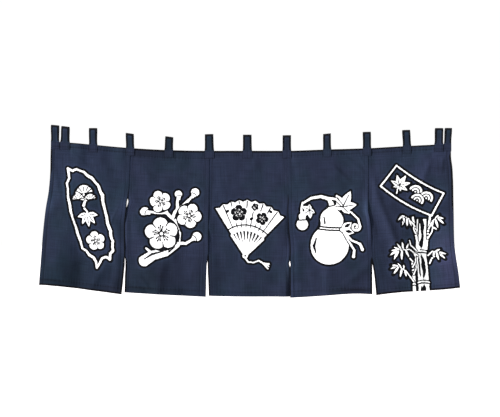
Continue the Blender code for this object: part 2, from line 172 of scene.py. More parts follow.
CREASES = by_panel(Fold, {
    "panel_1": ((200, 30, 460, 150, 8, 0.8), (820, 760, 600, 1010, 16, -2.6),
        (520, 60, 600, 200, 10, 1.2), (50, 200, 160, 400, 12, 2.2), (300, 880, 620, 800, 14, -1.8),
        (900, 400, 800, 560, 6, 1.6)),
    "panel_2": ((35, 300, 50, 760, 9, 4.2), (120, 100, 400, 260, 14, 1.4),
        (520, 80, 860, 220, 12, 1.2), (180, 880, 340, 1000, 10, 2.2), (60, 340, 340, 560, 12, 1.4),
        (930, 740, 930, 1050, 4, -1.6), (995, 440, 985, 860, 10, -3.4)),
    "panel_3": ((200, 90, 620, 190, 13, 1), (940, 340, 660, 520, 12, 1.2),
        (50, 360, 260, 600, 11, 1.4), (30, 420, 40, 720, 14, 2), (980, 300, 955, 500, 6, 2.2),
        (980, 560, 980, 860, 7, 2.6)),
    "panel_4": ((640, 20, 980, 180, 10, 2.2), (460, 50, 800, 250, 9, 1.6),
        (860, 10, 1000, 170, 4, 1.4), (50, 340, 220, 580, 11, 1.6), (30, 780, 40, 1080, 6, 2),
        (995, 460, 985, 860, 10, -5)),
    "panel_5": ((720, 60, 880, 20, 7, 1.6), (660, 735, 1020, 760, 11, -2.4),
        (920, 50, 860, 200, 8, 2.6), (550, 340, 700, 600, 13, 1.8), (50, 500, 90, 920, 13, 2.8),
        (30, 400, 50, 660, 14, 5)),
})
print("folds:", sum(map(len, FOLDS.values())), " creases:", sum(map(len, CREASES.values())))


# %% Reading curves from the tables
def ease(start, end, value):
    """Rise smoothly from 0 at start to 1 at end: 3 t squared minus 2 t cubed."""
    step = np.clip((value - start) / (end - start), 0.0, 1.0)
    return step * step * (3.0 - 2.0 * step)


def bell(value, reach):
    """1 at nought, and less to both sides: e to the power of minus (value / reach) squared."""
    return np.exp(-((value / reach) ** 2))


def smooth_through(places, values, at):
    """Read, at any place, the smooth curve through the values, which never overshoots.

    A cubic joins each pair of values. Its rate at a value is the harmonic mean of the slopes
    on both sides, or none where the values turn.
    """
    places = np.asarray(places, dtype=float)
    values = np.asarray(values, dtype=float)
    slopes = np.diff(values) / np.diff(places)
    before, after = slopes[:-1], slopes[1:]
    alike = before * after > 0.0
    total = np.where(alike, before + after, 1.0)
    inner_rates = np.where(alike, 2.0 * before * after / total, 0.0)
    rates = np.concatenate((slopes[:1], inner_rates, slopes[-1:]))
    index = np.clip(np.searchsorted(places, at, side="right") - 1, 0, len(places) - 2)
    span = places[index + 1] - places[index]
    t = (at - places[index]) / span
    start = values[index] * (2.0 * t**3 - 3.0 * t**2 + 1.0)
    end = values[index + 1] * (3.0 * t**2 - 2.0 * t**3)
    leave = rates[index] * span * (t**3 - 2.0 * t**2 + t)
    arrive = rates[index + 1] * span * (t**3 - t**2)
    return start + end + leave + arrive


def column_curve(rows, place, value, at):
    """The smooth curve of one column of a table over another."""
    return smooth_through([getattr(row, place) for row in rows],
                          [getattr(row, value) for row in rows], at)


def top_edge_bow(x):
    """Bow of the top edge between two loops: half a squared sine wave, flat at the loops."""
    out = np.zeros_like(x)
    for this, following in zip(LOOPS[:-1], LOOPS[1:]):
        start, end = this.foot_x + FLAT_HALF, following.foot_x - FLAT_HALF
        if this.bow != 0.0:
            out += this.bow * np.sin(np.pi * np.clip((x - start) / (end - start), 0.0, 1.0)) ** 2
    return out


# %% The height of a fold
def along_line(x, y, start, end):
    """Distances along and beside the straight line from start to end, and its length."""
    run_x, run_y = end[0] - start[0], end[1] - start[1]
    length = math.hypot(run_x, run_y)
    along = ((x - start[0]) * run_x + (y - start[1]) * run_y) / length
    aside = ((x - start[0]) * run_y - (y - start[1]) * run_x) / length
    return along, aside, length


def fold_height(fold, across, down):
    """A bell across the fold's line that eases in and out along it."""
    along, aside, length = along_line(
        across * PANEL_WIDTH, down * PANEL_DROP,
        (fold.across_1 * PANEL_WIDTH, fold.down_1 * PANEL_DROP),
        (fold.across_2 * PANEL_WIDTH, fold.down_2 * PANEL_DROP))
    rise = ease(-0.25, 0.45, along / length) * ease(1.25, 0.70, along / length)
    return fold.height * bell(aside, fold.reach) * rise


def folds_on(table, panel, across, down):
    """The sum of a table's folds on one panel."""
    return np.sum([fold_height(fold, across, down) for fold in table[panel.name]], axis=0)


# %% [markdown]
# ## Fine relief of the hanging cloth
#
# Between the folds, cotton is never flat: it keeps long shallow waves of a few centimetres.
# They are a sum of a few sine waves in different directions, with lengths from 45 to 150 mm.
# The waves die out where two panels are sewn together and under the loops, where the sewing
# holds the cloth flat.

# %% Waves of the free cloth
RIPPLES = 9
RIPPLE_HEIGHT = 0.00047
ripple_dice = np.random.default_rng(20)
ripple_length = ripple_dice.uniform(0.045, 0.150, RIPPLES)
ripple_turn = ripple_dice.uniform(-1.1, 1.1, RIPPLES)
ripple_phase = ripple_dice.uniform(0.0, 2.0 * np.pi, (len(PANELS), RIPPLES))


def ripples(number, across, down):
    """Sum of sine waves of set lengths and directions, each panel with its own phases."""
    x, z = across * PANEL_WIDTH, down * PANEL_DROP
    total = np.zeros_like(x)
    for length, turn, phase in zip(ripple_length, ripple_turn, ripple_phase[number]):
        along = x * np.cos(turn) + z * np.sin(turn)
        total += np.sin(2.0 * np.pi * along / length + phase) * (length / 0.10)
    return RIPPLE_HEIGHT * total


print("ripple lengths, mm:", np.round(ripple_length * 1000).astype(int))


# %% [markdown]
# ## Hems
#
# A hem is the cloth's own border, turned under twice and stitched near its inner fold. From
# the front it shows as a line where the thread pulls the cloth in, with small puckers across
# it. On the back the turned layers stand up as a step. So the front of the sheet gets a narrow
# groove along the stitching, and the back gets the added thickness.

# %% Hem distances and reliefs
STITCH_INSET = 0.0018     # the stitching runs this far inside the hem's inner fold
GROOVE, GROOVE_REACH = 0.0008, 0.0022
PUCKER, PUCKER_LENGTH = 0.00035, 0.013
# The lines and shades of a hem are painted shade: of the stitching's groove and of the thicker
# turned cloth.
Hem = namedtuple("Hem", "top foot top_line foot_line top_shade foot_shade")
HEMS = {                  # depth of the top and foot hems, how dark the painted shade of their lines is and of the hems
    "panel_1": Hem(0.0208, 0.0258, 0.36, 0.30, 0.10, 0.10),
    "panel_2": Hem(0.0340, 0.0258, 0.06, 0.28, 0.16, 0.12),
    "panel_3": Hem(0.0230, 0.0195, 0.05, 0.08, 0.05, 0.05),
    "panel_4": Hem(0.0230, 0.0258, 0.08, 0.16, 0.05, 0.08),
    "panel_5": Hem(0.0208, 0.0195, 0.26, 0.20, 0.08, 0.08),
}


def hem_depths(panel):
    """How far in each of the four hems of a panel reaches."""
    hems = HEMS[panel.name]
    return (("left", SIDE_HEM), ("right", SIDE_HEM), ("top", hems.top), ("foot", hems.foot))


def edge_distances(across, down):
    """Distance over the flat cloth to each of the four edges, in metres."""
    x, z = across * PANEL_WIDTH, down * PANEL_DROP
    return {"left": x, "right": PANEL_WIDTH - x, "top": z, "foot": PANEL_DROP - z}


def line_weight(panel, edge, down):
    """How clear a hem's line is: an inner side's is pressed flat where the panels are sewn."""
    outer = {"panel_1": "left", "panel_5": "right"}.get(panel.name)
    if edge in ("top", "foot", outer):
        return np.ones_like(down)
    return 0.22 + 0.48 * ease(SEWN + 0.02, SEWN + 0.20, down)


def stitch_pull(panel, across, down):
    """Depth of the groove and puckers that the hems' stitching pulls into the front."""
    distance = edge_distances(across, down)
    total = np.zeros_like(across)
    for edge, hem in hem_depths(panel):
        weight = line_weight(panel, edge, down)
        aside = distance[edge] - (hem - STITCH_INSET)
        along = distance["top" if edge in ("left", "right") else "left"]
        wave = np.sin(2.0 * np.pi * along / PUCKER_LENGTH + 3.0 * np.sin(along / 0.021))
        total += weight * GROOVE * bell(aside, GROOVE_REACH)
        total += weight * PUCKER * wave * bell(aside, 3.0 * GROOVE_REACH)
    return total


def hem_layers(panel, across, down):
    """1 in a hem and 0 outside it, with a short soft step at the inner fold."""
    distance = edge_distances(across, down)
    inside = [ease(hem + 0.0008, hem, distance[edge]) for edge, hem in hem_depths(panel)]
    return np.max(inside, axis=0)


# %% [markdown]
# ## The panel's middle surface
#
# All of these add up to one surface for each panel: the span between its sides, the sag and
# bow of its top edge, its folds, creases and waves. The layer says on which side of its
# neighbour a panel's edge is lapped.

# %% Middle surface of a panel
LOOP_PUCKER = 0.0007      # depth of the grooves beside a loop's sewn legs
PUCKER_OUT, PUCKER_REACH = 0.0022, 0.0024     # how far out they lie and how wide they are


def loop_grip(x, down):
    """1 where a loop grips the top hem, 0 elsewhere."""
    near = [ease(FLAT_HALF + 0.012, FLAT_HALF, np.abs(x - loop.foot_x)) for loop in LOOPS]
    return np.max(near, axis=0) * ease(FLAT_DOWN + 0.04, FLAT_DOWN, down)


def beside_loops(x, offset, reach, left=1.0, right=1.0):
    """Bells that stand outside both edges of each loop: how high to its left and right."""
    total = np.zeros_like(x)
    for loop in LOOPS:
        for way, amount in ((-1.0, left), (1.0, right)):
            total += amount * bell(x - loop.foot_x - way * (0.5 * loop.width + offset), reach)
    return total


def panel_surface(number, across, down):
    """Points of a panel's middle surface, as an array with x, y and z in its last axis."""
    panel = PANELS[number]
    sides = LEFT_SIDES[panel.name], RIGHT_SIDES[panel.name]
    left_x, right_x = (column_curve(side, "down", "x", down) for side in sides)
    left_out, right_out = (column_curve(side, "down", "out", down) for side in sides)
    x = left_x + (right_x - left_x) * across

    left_top, right_top = (side[0].x for side in sides)
    top = column_curve(LOOPS, "foot_x", "foot_z", left_top + (right_top - left_top) * across)
    foot = panel.left_foot + (panel.right_foot - panel.left_foot) * across
    skewed = across ** (np.log(0.5) / np.log(panel.foot_peak))
    foot = foot + panel.foot_rise * np.sin(np.pi * skewed)
    foot = foot + panel.foot_wave * np.sin(2.0 * np.pi * across)
    z = top + (foot - top) * down

    out = left_out * ease(0.35, 0.0, across) + right_out * ease(0.65, 1.0, across)
    out = out + top_edge_bow(x) * ease(0.42, 0.02, down)

    from_side = np.minimum(across, 1.0 - across)
    free = ease(0.0, 0.10, from_side)
    free = free + (1.0 - free) * ease(SEWN, SEWN + 0.25, down)
    broad = folds_on(FOLDS, panel, across, down)
    out = out + broad * free * ease(FLAT_DOWN, FLAT_DOWN + 0.07, down)

    fine = folds_on(CREASES, panel, across, down) + ripples(number, across, down)
    out = out + fine * free * (1.0 - loop_grip(x, down))
    puckered = ease(LEG + 0.018, LEG - 0.004, down * PANEL_DROP)
    out = out - LOOP_PUCKER * beside_loops(x, PUCKER_OUT, PUCKER_REACH) * puckered

    layer = panel.left_layer + (panel.right_layer - panel.left_layer) * across
    return np.stack((x, LAYER * layer - out, z), axis=-1)


def unit(vectors):
    """Vectors made 1 long."""
    return vectors / np.linalg.norm(vectors, axis=-1, keepdims=True)


def to_viewer(normals):
    """Normals turned towards the viewer, who is at -y."""
    return normals * np.where(normals[..., 1:2] > 0.0, -1.0, 1.0)


def grid_normals(points):
    """Unit normals of a grid of points: the cross product of its columns and rows."""
    return unit(np.cross(np.gradient(points, axis=0), np.gradient(points, axis=1)))


# %% [markdown]
# ## The resist print
#
# On the real cloth, rice paste keeps the dye off the white figures. Each figure is worked out
# here as a signed distance: a number for every point of the cloth that is below zero inside
# the white and above zero outside it, in metres. Joining two shapes takes the smaller number,
# and cutting one from another takes the larger of one and minus the other. The distance is
# kept on the mesh, and the cloth's material turns it into white cloth with a crisp edge, so
# there is no picture file and the weave runs on under the print.
#
# The figures are ordinary old motifs, drawn for this cloth: a plum bough, a folding fan, a
# gourd on its vine, and bamboo.

# %% Simple shapes as distances
def join(*shapes):
    """Everything that is in any of the shapes."""
    return np.minimum.reduce(shapes)


def cut(shape, *holes):
    """A shape less its holes."""
    return np.maximum.reduce((shape,) + tuple(-hole for hole in holes))


def disc(x, y, centre_x, centre_y, radius):
    """Distance to the centre, less the radius."""
    return np.hypot(x - centre_x, y - centre_y) - radius


def to_piece(x, y, start, end):
    """Distance to a straight piece, and how far along it, from 0 to 1, the nearest point is."""
    run_x, run_y = end[0] - start[0], end[1] - start[1]
    span = max(run_x**2 + run_y**2, 1e-12)
    t = np.clip(((x - start[0]) * run_x + (y - start[1]) * run_y) / span, 0.0, 1.0)
    return np.hypot(x - start[0] - t * run_x, y - start[1] - t * run_y), t


def limb(x, y, points, radii):
    """A stroke through points: distance to each straight piece, less its tapering radius."""
    pieces = []
    for start, end, r1, r2 in zip(points[:-1], points[1:], radii[:-1], radii[1:]):
        gap, t = to_piece(x, y, start, end)
        pieces.append(gap - (r1 + (r2 - r1) * t))
    return join(*pieces)


def strokes(x, y, *rows):
    """Several strokes, each given by its points and its radii."""
    return join(*[limb(x, y, points, radii) for points, radii in rows])


def blade(x, y, start, end, half_width, belly=0.8):
    """A pointed leaf: distance to its midrib, less a width of sin(pi t^belly)."""
    along, aside, length = along_line(x, y, start, end)
    t = np.clip(along / length, 0.0, 1.0)
    beyond = np.maximum(np.maximum(-along, along - length), 0.0)
    return np.hypot(aside, beyond) - half_width * np.sin(np.pi * t**belly)


def outline(x, y, corners):
    """Signed distance to a closed outline: the nearest edge, below zero inside it."""
    best = np.full(x.shape, 1.0)
    inside = np.zeros(x.shape, dtype=bool)
    for (x1, y1), (x2, y2) in zip(corners, np.roll(corners, -1, axis=0)):
        best = np.minimum(best, to_piece(x, y, (x1, y1), (x2, y2))[0])
        crosses = (y1 > y) != (y2 > y)
        where = x1 + (y - y1) * (x2 - x1) / (y2 - y1 if y2 != y1 else 1e-12)
        inside ^= crosses & (x < where)
    return np.where(inside, -best, best)


def away(radius, angle, centre=(0.0, 0.0)):
    """The point at a distance and an angle from a centre."""
    return centre[0] + radius * math.cos(angle), centre[1] + radius * math.sin(angle)


def round_blend(a, b, reach):
    """Join two shapes with a filleted waist, by the polynomial smooth minimum."""
    mix = np.clip(0.5 + 0.5 * (b - a) / reach, 0.0, 1.0)
    return b + (a - b) * mix - reach * mix * (1.0 - mix)


# %% Plum blossom and plum bough
def blossom(x, y, centre, radius, turn_degrees=0.0):
    """Five round petals parted by thin lines, with stamens that spread from the eye."""
    turns = np.radians(turn_degrees + 90.0 + 72.0 * np.arange(5))
    px, py = (x - centre[0]) / radius, (y - centre[1]) / radius
    petals = [disc(px, py, *away(0.55, a), 0.44) for a in turns]
    flower = join(disc(px, py, 0.0, 0.0, 0.42), *petals)
    lines = [np.abs(disc(px, py, 0.0, 0.0, 0.135)) - 0.030]
    for a in turns:
        parting = a + math.radians(36.0)
        lines.append(limb(px, py, (away(0.50, parting), away(1.05, parting)), (0.022, 0.060)))
        for spread, reach in ((-0.30, 0.42), (0.0, 0.50), (0.30, 0.42)):
            tip = away(reach, a + spread)
            lines.append(limb(px, py, (away(0.16, a + spread), tip), (0.020, 0.024)))
            lines.append(disc(px, py, *tip, 0.050))
    return cut(flower, *lines) * radius


def bud(x, y, centre, radius, turn_degrees):
    """A closed bud: a disc, and a sepal that a thin curved line parts from it."""
    turn = math.radians(turn_degrees)
    px, py = (x - centre[0]) / radius, (y - centre[1]) / radius
    ball = disc(px, py, 0.0, 0.0, 1.0)
    sepal = limb(px, py, (away(-1.35, turn), away(-0.54, turn)), (0.30, 0.62))
    seam = np.abs(disc(px, py, *away(-1.35, turn), 1.02)) - 0.085
    return cut(join(ball, sepal), np.maximum(seam, ball - 0.02 / radius)) * radius


BOUGH = (((-0.37, -0.50), (-0.25, -0.415), (-0.07, -0.36), (0.07, -0.25), (0.09, -0.10),
          (0.03, 0.06), (0.05, 0.19), (0.16, 0.30), (0.27, 0.42)),
         (0.070, 0.064, 0.056, 0.050, 0.044, 0.039, 0.033, 0.024, 0.013))
PLUM_FLOWERS = (((-0.125, -0.110), 0.225, 8.0), ((0.235, 0.150), 0.170, -22.0),
                ((-0.175, 0.330), 0.150, 20.0))
PLUM_BUDS = (((0.305, 0.470), 0.056, 60.0), ((0.075, 0.440), 0.050, 100.0),
             ((0.345, -0.130), 0.060, 35.0), ((-0.375, 0.185), 0.056, 160.0))
PLUM_TWIGS = (((0.08, -0.23), (0.20, -0.23), (0.31, -0.155)),
              ((0.07, 0.22), (0.055, 0.32), (0.07, 0.40)),
              ((0.04, 0.08), (-0.06, 0.17), (-0.15, 0.30)),
              ((-0.08, 0.185), (-0.20, 0.175), (-0.33, 0.185)), ((-0.23, -0.41), (-0.33, -0.32)))
PLUM_GRAIN = ((((-0.36, -0.47), (-0.25, -0.395), (-0.10, -0.350)), (0.007, 0.014, 0.006)),
              (((-0.03, -0.355), (0.05, -0.285)), (0.011, 0.006)),
              (((0.10, -0.21), (0.105, -0.12), (0.07, -0.03)), (0.007, 0.013, 0.006)),
              (((0.045, 0.10), (0.060, 0.17)), (0.009, 0.006)))


def halos(x, y, flowers, wider=0.0, scale=1.0):
    """Round clearings behind open blossoms."""
    return join(*[disc(x, y, *centre, scale * radius + wider) for centre, radius, _ in flowers])


def plum_bough(x, y):
    """A crooked bough with three open blossoms, four buds and short twigs."""
    twigs = [(points, np.linspace(0.024, 0.013, len(points))) for points in PLUM_TWIGS]
    wood = cut(strokes(x, y, BOUGH, *twigs), strokes(x, y, *PLUM_GRAIN),
               halos(x, y, PLUM_FLOWERS, scale=1.06))
    flowers = [blossom(x, y, *row) for row in PLUM_FLOWERS]
    return join(wood, *flowers, *[bud(x, y, *row) for row in PLUM_BUDS])


# %% Folding fan
FAN_RIBS = 9
FAN_SPREAD = 39.0         # degrees to each side of the middle rib
FAN_PIVOT = (0.0, -0.40)
FAN_FLOWERS = (((-0.17, 0.640), 0.130, 8.0), ((0.20, 0.600), 0.100, -20.0),
               ((0.07, 0.765), 0.060, 30.0))


def folding_fan(x, y):
    """An open fan: a pleated sector with flowers, sticks from the pivot, and a tied cord."""
    px, py = x - FAN_PIVOT[0], y - FAN_PIVOT[1]
    radius = np.hypot(px, py)
    angle = np.degrees(np.arctan2(px, py))
    pleat = np.abs(((angle + FAN_SPREAD) / (2.0 * FAN_SPREAD) * FAN_RIBS) % 1.0 - 0.5)
    outer = 0.86 - 0.030 * (1.0 - 2.0 * pleat)
    sides = (np.abs(angle) - FAN_SPREAD) * np.radians(1.0) * radius
    paper = np.maximum.reduce((radius - outer, 0.38 - radius, sides))

    sticks, pleats = [], []
    for number in range(FAN_RIBS + 1):
        a = math.radians(-FAN_SPREAD + 2.0 * FAN_SPREAD * number / FAN_RIBS)
        at = [(r * math.sin(a), r * math.cos(a)) for r in (0.0, 0.37, 0.44, 0.84)]
        width = 0.024 if number in (0, FAN_RIBS) else 0.0135
        sticks.append((at[:2], (0.018, width)))
        if 0 < number < FAN_RIBS:
            pleats.append((at[2:], (0.0050, 0.0085)))
    band = np.abs(radius - 0.475) - 0.009
    dark_flowers = join(*[blossom(px, py, *row) for row in FAN_FLOWERS])
    petals = join(blade(px, py, (0.01, 0.56), (0.07, 0.60), 0.022),
                  blade(px, py, (0.30, 0.74), (0.35, 0.70), 0.020),
                  blade(px, py, (-0.36, 0.62), (-0.33, 0.68), 0.020))
    pleat_lines = cut(strokes(px, py, *pleats), halos(px, py, FAN_FLOWERS, wider=0.014))
    guard = cut(join(disc(px, py, 0.0, 0.0, 0.042), strokes(px, py, *sticks)),
                disc(px, py, 0.0, 0.0, 0.014))
    cord = ((0.0, -0.03), (0.06, -0.085), (0.15, -0.085), (0.22, -0.045), (0.29, -0.075))
    tassel = [((cord[-1], (0.365 + 0.012 * k, -0.150 + 0.036 * k)), (0.010, 0.014))
              for k in range(3)]
    tied = strokes(px, py, (cord, (0.012, 0.012, 0.011, 0.011, 0.013)), *tassel)
    return join(cut(paper, band, dark_flowers, petals, pleat_lines), guard, tied)


# %% Gourd on its vine
def lobed_leaf(x, y, centre, turn_degrees, lobes, belly, heel, vein, vein_radii):
    """Pointed lobes from one stem, with thin veins left in the dye.

    lobes gives each one's turn from the middle, its length and half its width. heel is how far
    a lobe starts behind the stem, and vein the share of its length that the vein takes.
    """
    blades, veins = [], []
    for spread, length, half in lobes:
        a = math.radians(turn_degrees + 90.0 + spread)
        blades.append(blade(x, y, away(-heel, a, centre), away(length, a, centre), half, belly))
        veins.append(((centre, away(vein * length, a, centre)), vein_radii))
    return cut(join(*blades), strokes(x, y, *veins))


def vine_leaf(x, y, centre, size, turn_degrees):
    """A broad leaf of five lobes."""
    lobes = ((-112, 0.55, 0.19), (-56, 0.82, 0.23), (0, 1.0, 0.26), (56, 0.82, 0.23),
             (112, 0.55, 0.19))
    px, py = (x - centre[0]) / size, (y - centre[1]) / size
    return lobed_leaf(px, py, (0.0, 0.0), turn_degrees, lobes, 0.85, 0.10, 0.76,
                      (0.034, 0.018)) * size


def tendril(x, y, start, radius, turns, way):
    """A spiral stroke that winds in, worked out as points on a shrinking circle."""
    t = np.linspace(0.0, 1.0, 26)
    reach = radius * (1.0 - 0.80 * t)
    a = way * (2.0 * np.pi * turns * t) + (np.pi if way > 0 else 0.0)
    centre_x = start[0] + way * radius
    points = list(zip(centre_x + reach * np.cos(a), start[1] + reach * np.sin(a)))
    return limb(x, y, points, list(0.017 - 0.006 * t))


RIBBON = (0.015, 0.014, 0.016, 0.021)     # half widths of the cord's two hanging ends


def gourd_vine(x, y):
    """A two-bellied gourd with a cord round its waist, two leaves, a small gourd and a tendril."""
    body = round_blend(disc(x, y, -0.050, -0.220, 0.268), disc(x, y, 0.030, 0.125, 0.160), 0.10)
    neck = limb(x, y, ((0.040, 0.22), (0.062, 0.305), (0.050, 0.355)), (0.062, 0.040, 0.032))
    waist = [(((-0.22, 0.035 + k), (-0.04, -0.012 + k), (0.17, -0.045 + k)), (0.010,) * 3)
             for k in (0.0, 0.038)]
    shine = ((((-0.255, -0.30), (-0.272, -0.20), (-0.225, -0.10)), (0.007, 0.019, 0.008)),
             (((-0.075, 0.09), (-0.072, 0.175)), (0.012, 0.007)))
    collar = (((0.005, 0.312), (0.105, 0.322)), (0.009, 0.009))
    stem = limb(x, y, ((0.050, 0.35), (0.02, 0.42), (-0.09, 0.465), (-0.23, 0.46), (-0.36, 0.40)),
                (0.028, 0.024, 0.021, 0.018, 0.013))
    knot = (0.150, -0.030)
    bow = join(cut(blade(x, y, knot, (0.300, 0.060), 0.052),
                   blade(x, y, (0.19, 0.000), (0.28, 0.046), 0.021)),
               cut(blade(x, y, knot, (0.310, -0.090), 0.054),
                   blade(x, y, (0.19, -0.045), (0.29, -0.080), 0.022)),
               limb(x, y, (knot, (0.260, -0.19), (0.375, -0.250), (0.400, -0.330)), RIBBON),
               limb(x, y, (knot, (0.215, -0.19), (0.285, -0.330), (0.265, -0.420)), RIBBON),
               disc(x, y, *knot, 0.030))
    leaf_stem = limb(x, y, ((0.03, 0.425), (0.12, 0.405), (0.20, 0.310)), (0.018, 0.015, 0.012))
    leaves = join(vine_leaf(x, y, (0.215, 0.285), 0.245, -30.0),
                  vine_leaf(x, y, (-0.255, 0.300), 0.150, 118.0))
    small = round_blend(disc(x, y, -0.390, 0.115, 0.080), disc(x, y, -0.375, 0.222, 0.050), 0.03)
    small_waist = limb(x, y, ((-0.45, 0.178), (-0.31, 0.170)), (0.008, 0.008))
    thin_stems = strokes(
        x, y, (((-0.375, 0.25), (-0.375, 0.33), (-0.355, 0.41)), (0.019, 0.014, 0.013)),
        (((0.235, 0.275), (0.330, 0.190), (0.398, 0.100), (0.405, -0.005)),
         (0.010, 0.012, 0.014, 0.016)))
    curl = tendril(x, y, (0.405, -0.005), 0.062, 1.30, -1)
    fruit = cut(round_blend(body, neck, 0.05), strokes(x, y, *waist, *shine, collar), bow - 0.012)
    return join(fruit, stem, bow, cut(leaves, join(leaf_stem, stem) - 0.010), leaf_stem,
                cut(small, small_waist), thin_stems, curl)


# %% Pine, bamboo sprig, maple leaf and wave for the two framed signs
def needle_cloud(x, y, foot, radius):
    """A mound of pine needles: a half disc with a scalloped rim, parted by radial lines."""
    px, py = (x - foot[0]) / radius, (y - foot[1]) / radius
    angle = np.degrees(np.arctan2(px, py + 0.30))
    edge_shade = 1.0 - 0.075 * (1.0 - np.abs(np.cos(np.radians(angle * 2.25))))
    mound = np.maximum(np.hypot(px * 0.86, py) - edge_shade, -py - 0.06)
    lines = []
    for spread in (-56.0, -30.0, 0.0, 30.0, 56.0):
        a = math.radians(spread)
        ends = [(r * math.sin(a) / 0.86, r * math.cos(a) - 0.30) for r in (0.52, 1.06)]
        lines.append((ends, (0.050, 0.062)))
    return cut(mound, strokes(px, py, *lines)) * radius


def pine_tree(x, y):
    """Three mounds of needles on a leaning trunk with two arms."""
    wood = strokes(x, y, (((-0.04, -0.50), (0.05, -0.30), (-0.03, -0.10), (0.03, 0.10)),
                          (0.075, 0.055, 0.050, 0.040)),
                   (((0.04, -0.30), (0.26, -0.22)), (0.040, 0.034)),
                   (((-0.01, -0.22), (-0.25, -0.12)), (0.040, 0.034)))
    clouds = join(needle_cloud(x, y, (0.03, 0.13), 0.36), needle_cloud(x, y, (-0.29, -0.13), 0.235),
                  needle_cloud(x, y, (0.31, -0.22), 0.235))
    return join(cut(wood, clouds - 0.03), clouds)


def bamboo_sprig(x, y):
    """Five broad leaves that fan out below one joint of a twig."""
    twig = limb(x, y, ((-0.14, 0.50), (-0.01, 0.32), (0.00, 0.22)), (0.042, 0.036, 0.056))
    leaves, ribs = [], []
    for turn in (-82.0, -43.0, -4.0, 36.0, 78.0):
        across, down = math.sin(math.radians(turn)), math.cos(math.radians(turn))
        tip = (0.52 * across, 0.20 - 0.66 * down)
        leaves.append(blade(x, y, (0.03 * across, 0.21), tip, 0.112))
        ribs.append((((0.13 * across, 0.20 - 0.16 * down), (0.38 * across, 0.20 - 0.48 * down)),
                     (0.018, 0.014)))
    return join(twig, cut(join(*leaves), strokes(x, y, *ribs)))


def maple_leaf(x, y):
    """Seven pointed lobes with a vein each, and a stalk."""
    lobes = ((-136, 0.36, 0.085), (-92, 0.54, 0.11), (-46, 0.60, 0.125), (0, 0.64, 0.13),
             (46, 0.60, 0.125), (92, 0.54, 0.11), (136, 0.36, 0.085))
    stalk = limb(x, y, ((0.0, -0.12), (0.03, -0.32), (0.12, -0.50)), (0.030, 0.028, 0.040))
    return join(lobed_leaf(x, y, (0.0, -0.08), 0.0, lobes, 0.80, 0.08, 0.66, (0.017, 0.012)), stalk)


def wave_scales(x, y):
    """Three fish-scale waves, two behind and one in front, each of ring upon ring."""
    scales = np.full_like(x, 1.0)
    for centre_x, centre_y in ((-0.29, 0.02), (0.29, 0.02), (0.0, -0.28)):
        radius = np.hypot(x - centre_x, y - centre_y)
        rings = join(np.abs(radius - 0.265) - 0.046, np.abs(radius - 0.135) - 0.038, radius - 0.042)
        rings = np.maximum(rings, -(y - centre_y) - 0.03)
        scales = join(np.maximum(scales, -(radius - 0.345)), rings)
    return scales


# %% [markdown]
# ### The two framed signs
#
# Panel 1 carries a long board with rough, hewn edges and pointed ends, leaning to the left.
# Panel 5 carries a plain oblong border, tilted the other way, with slightly bowed long sides.
# Both are drawn as an outline and its own distance: the border is the band close to the
# outline, wide where the brush was full.

# %% Borders of the signs
BOARD_EDGE = np.array((   # mm across and down the cloth, clockwise from the top left point
    (76, 109), (96, 117), (112, 108), (128, 113), (146, 117), (160, 130), (180, 138), (197, 156),
    (209, 166), (221, 192), (232, 206), (241, 240), (253, 270), (262, 292), (268, 318), (281, 346),
    (283, 370), (291, 388), (289, 412), (292, 426), (280, 441), (279, 464), (264, 455), (247, 463),
    (240, 480), (229, 505), (223, 481), (212, 464), (193, 455), (182, 440), (165, 432), (158, 404),
    (143, 370), (136, 348), (122, 316), (108, 282), (102, 262), (89, 230), (83, 206), (80, 186),
    (75, 170), (83, 150), (80, 130),
)) / 1000.0
OBLONG_CORNERS = np.array(((117, 78), (302, 204), (253, 293), (51, 158))) / 1000.0


def hewn_border(s, t):
    """The band round a board whose edge is nicked, drawn thicker down its right side."""
    brush = 0.0046 + 0.0012 * ease(0.10, 0.24, s - 0.32 * t + 0.05)
    brush = brush + 0.0007 * np.sin(s * 60.0 + t * 31.0)
    return np.abs(outline(s, t, BOARD_EDGE)) - brush


def oblong_border(s, t):
    """Four corners; the two long sides bow by a few millimetres."""
    a, b, c, d = OBLONG_CORNERS
    along = np.linspace(0.0, 1.0, 17)[:, None]
    sag = np.sin(np.pi * along) * np.array((-0.55, 0.83))
    upper = a + (b - a) * along + 0.008 * sag
    lower = c + (d - c) * along + 0.010 * sag
    distance = outline(s, t, np.concatenate((upper, lower)))
    return np.abs(distance) - (0.0032 + 0.0003 * np.sin(s * 210.0 + t * 130.0))


# %% [markdown]
# ### The bamboo
#
# A thick cane rises from the hem with a thin one beside it, and sprays of leaves hang from
# its joints. The cane is white with dark brush streaks inside, and a dark line parts it at
# each joint. Canes, twigs and leaves each come from a short table.

# %% Bamboo canes, twigs and leaves
Cane = namedtuple("Cane", "foot head half joints")
CANES = (
    Cane((0.196, 0.606), (0.212, 0.304), 0.0225, (0.130, 0.545)),
    Cane((0.198, 0.436), (0.176, 0.292), 0.0046, (0.520,)),
    Cane((0.228, 0.432), (0.247, 0.288), 0.0044, (0.420,)),
    Cane((0.156, 0.606), (0.164, 0.470), 0.0062, (0.240, 0.660)),
)
TWIGS = np.array((        # three points each, in mm across and down the cloth
    ((183, 332), (162, 302), (137, 285)), ((186, 362), (178, 344), (180, 322)),
    ((240, 346), (256, 314), (274, 300)), ((236, 386), (254, 358), (256, 336)),
    ((232, 456), (252, 440), (277, 445)), ((234, 488), (246, 468), (258, 462)),
    ((190, 454), (158, 426), (108, 426)), ((186, 432), (164, 410), (160, 390)),
    ((164, 476), (148, 452), (144, 430)), ((160, 500), (176, 478), (180, 458)),
    ((158, 560), (130, 512), (99, 490)), ((160, 530), (174, 506), (177, 488)),
)) / 1000.0
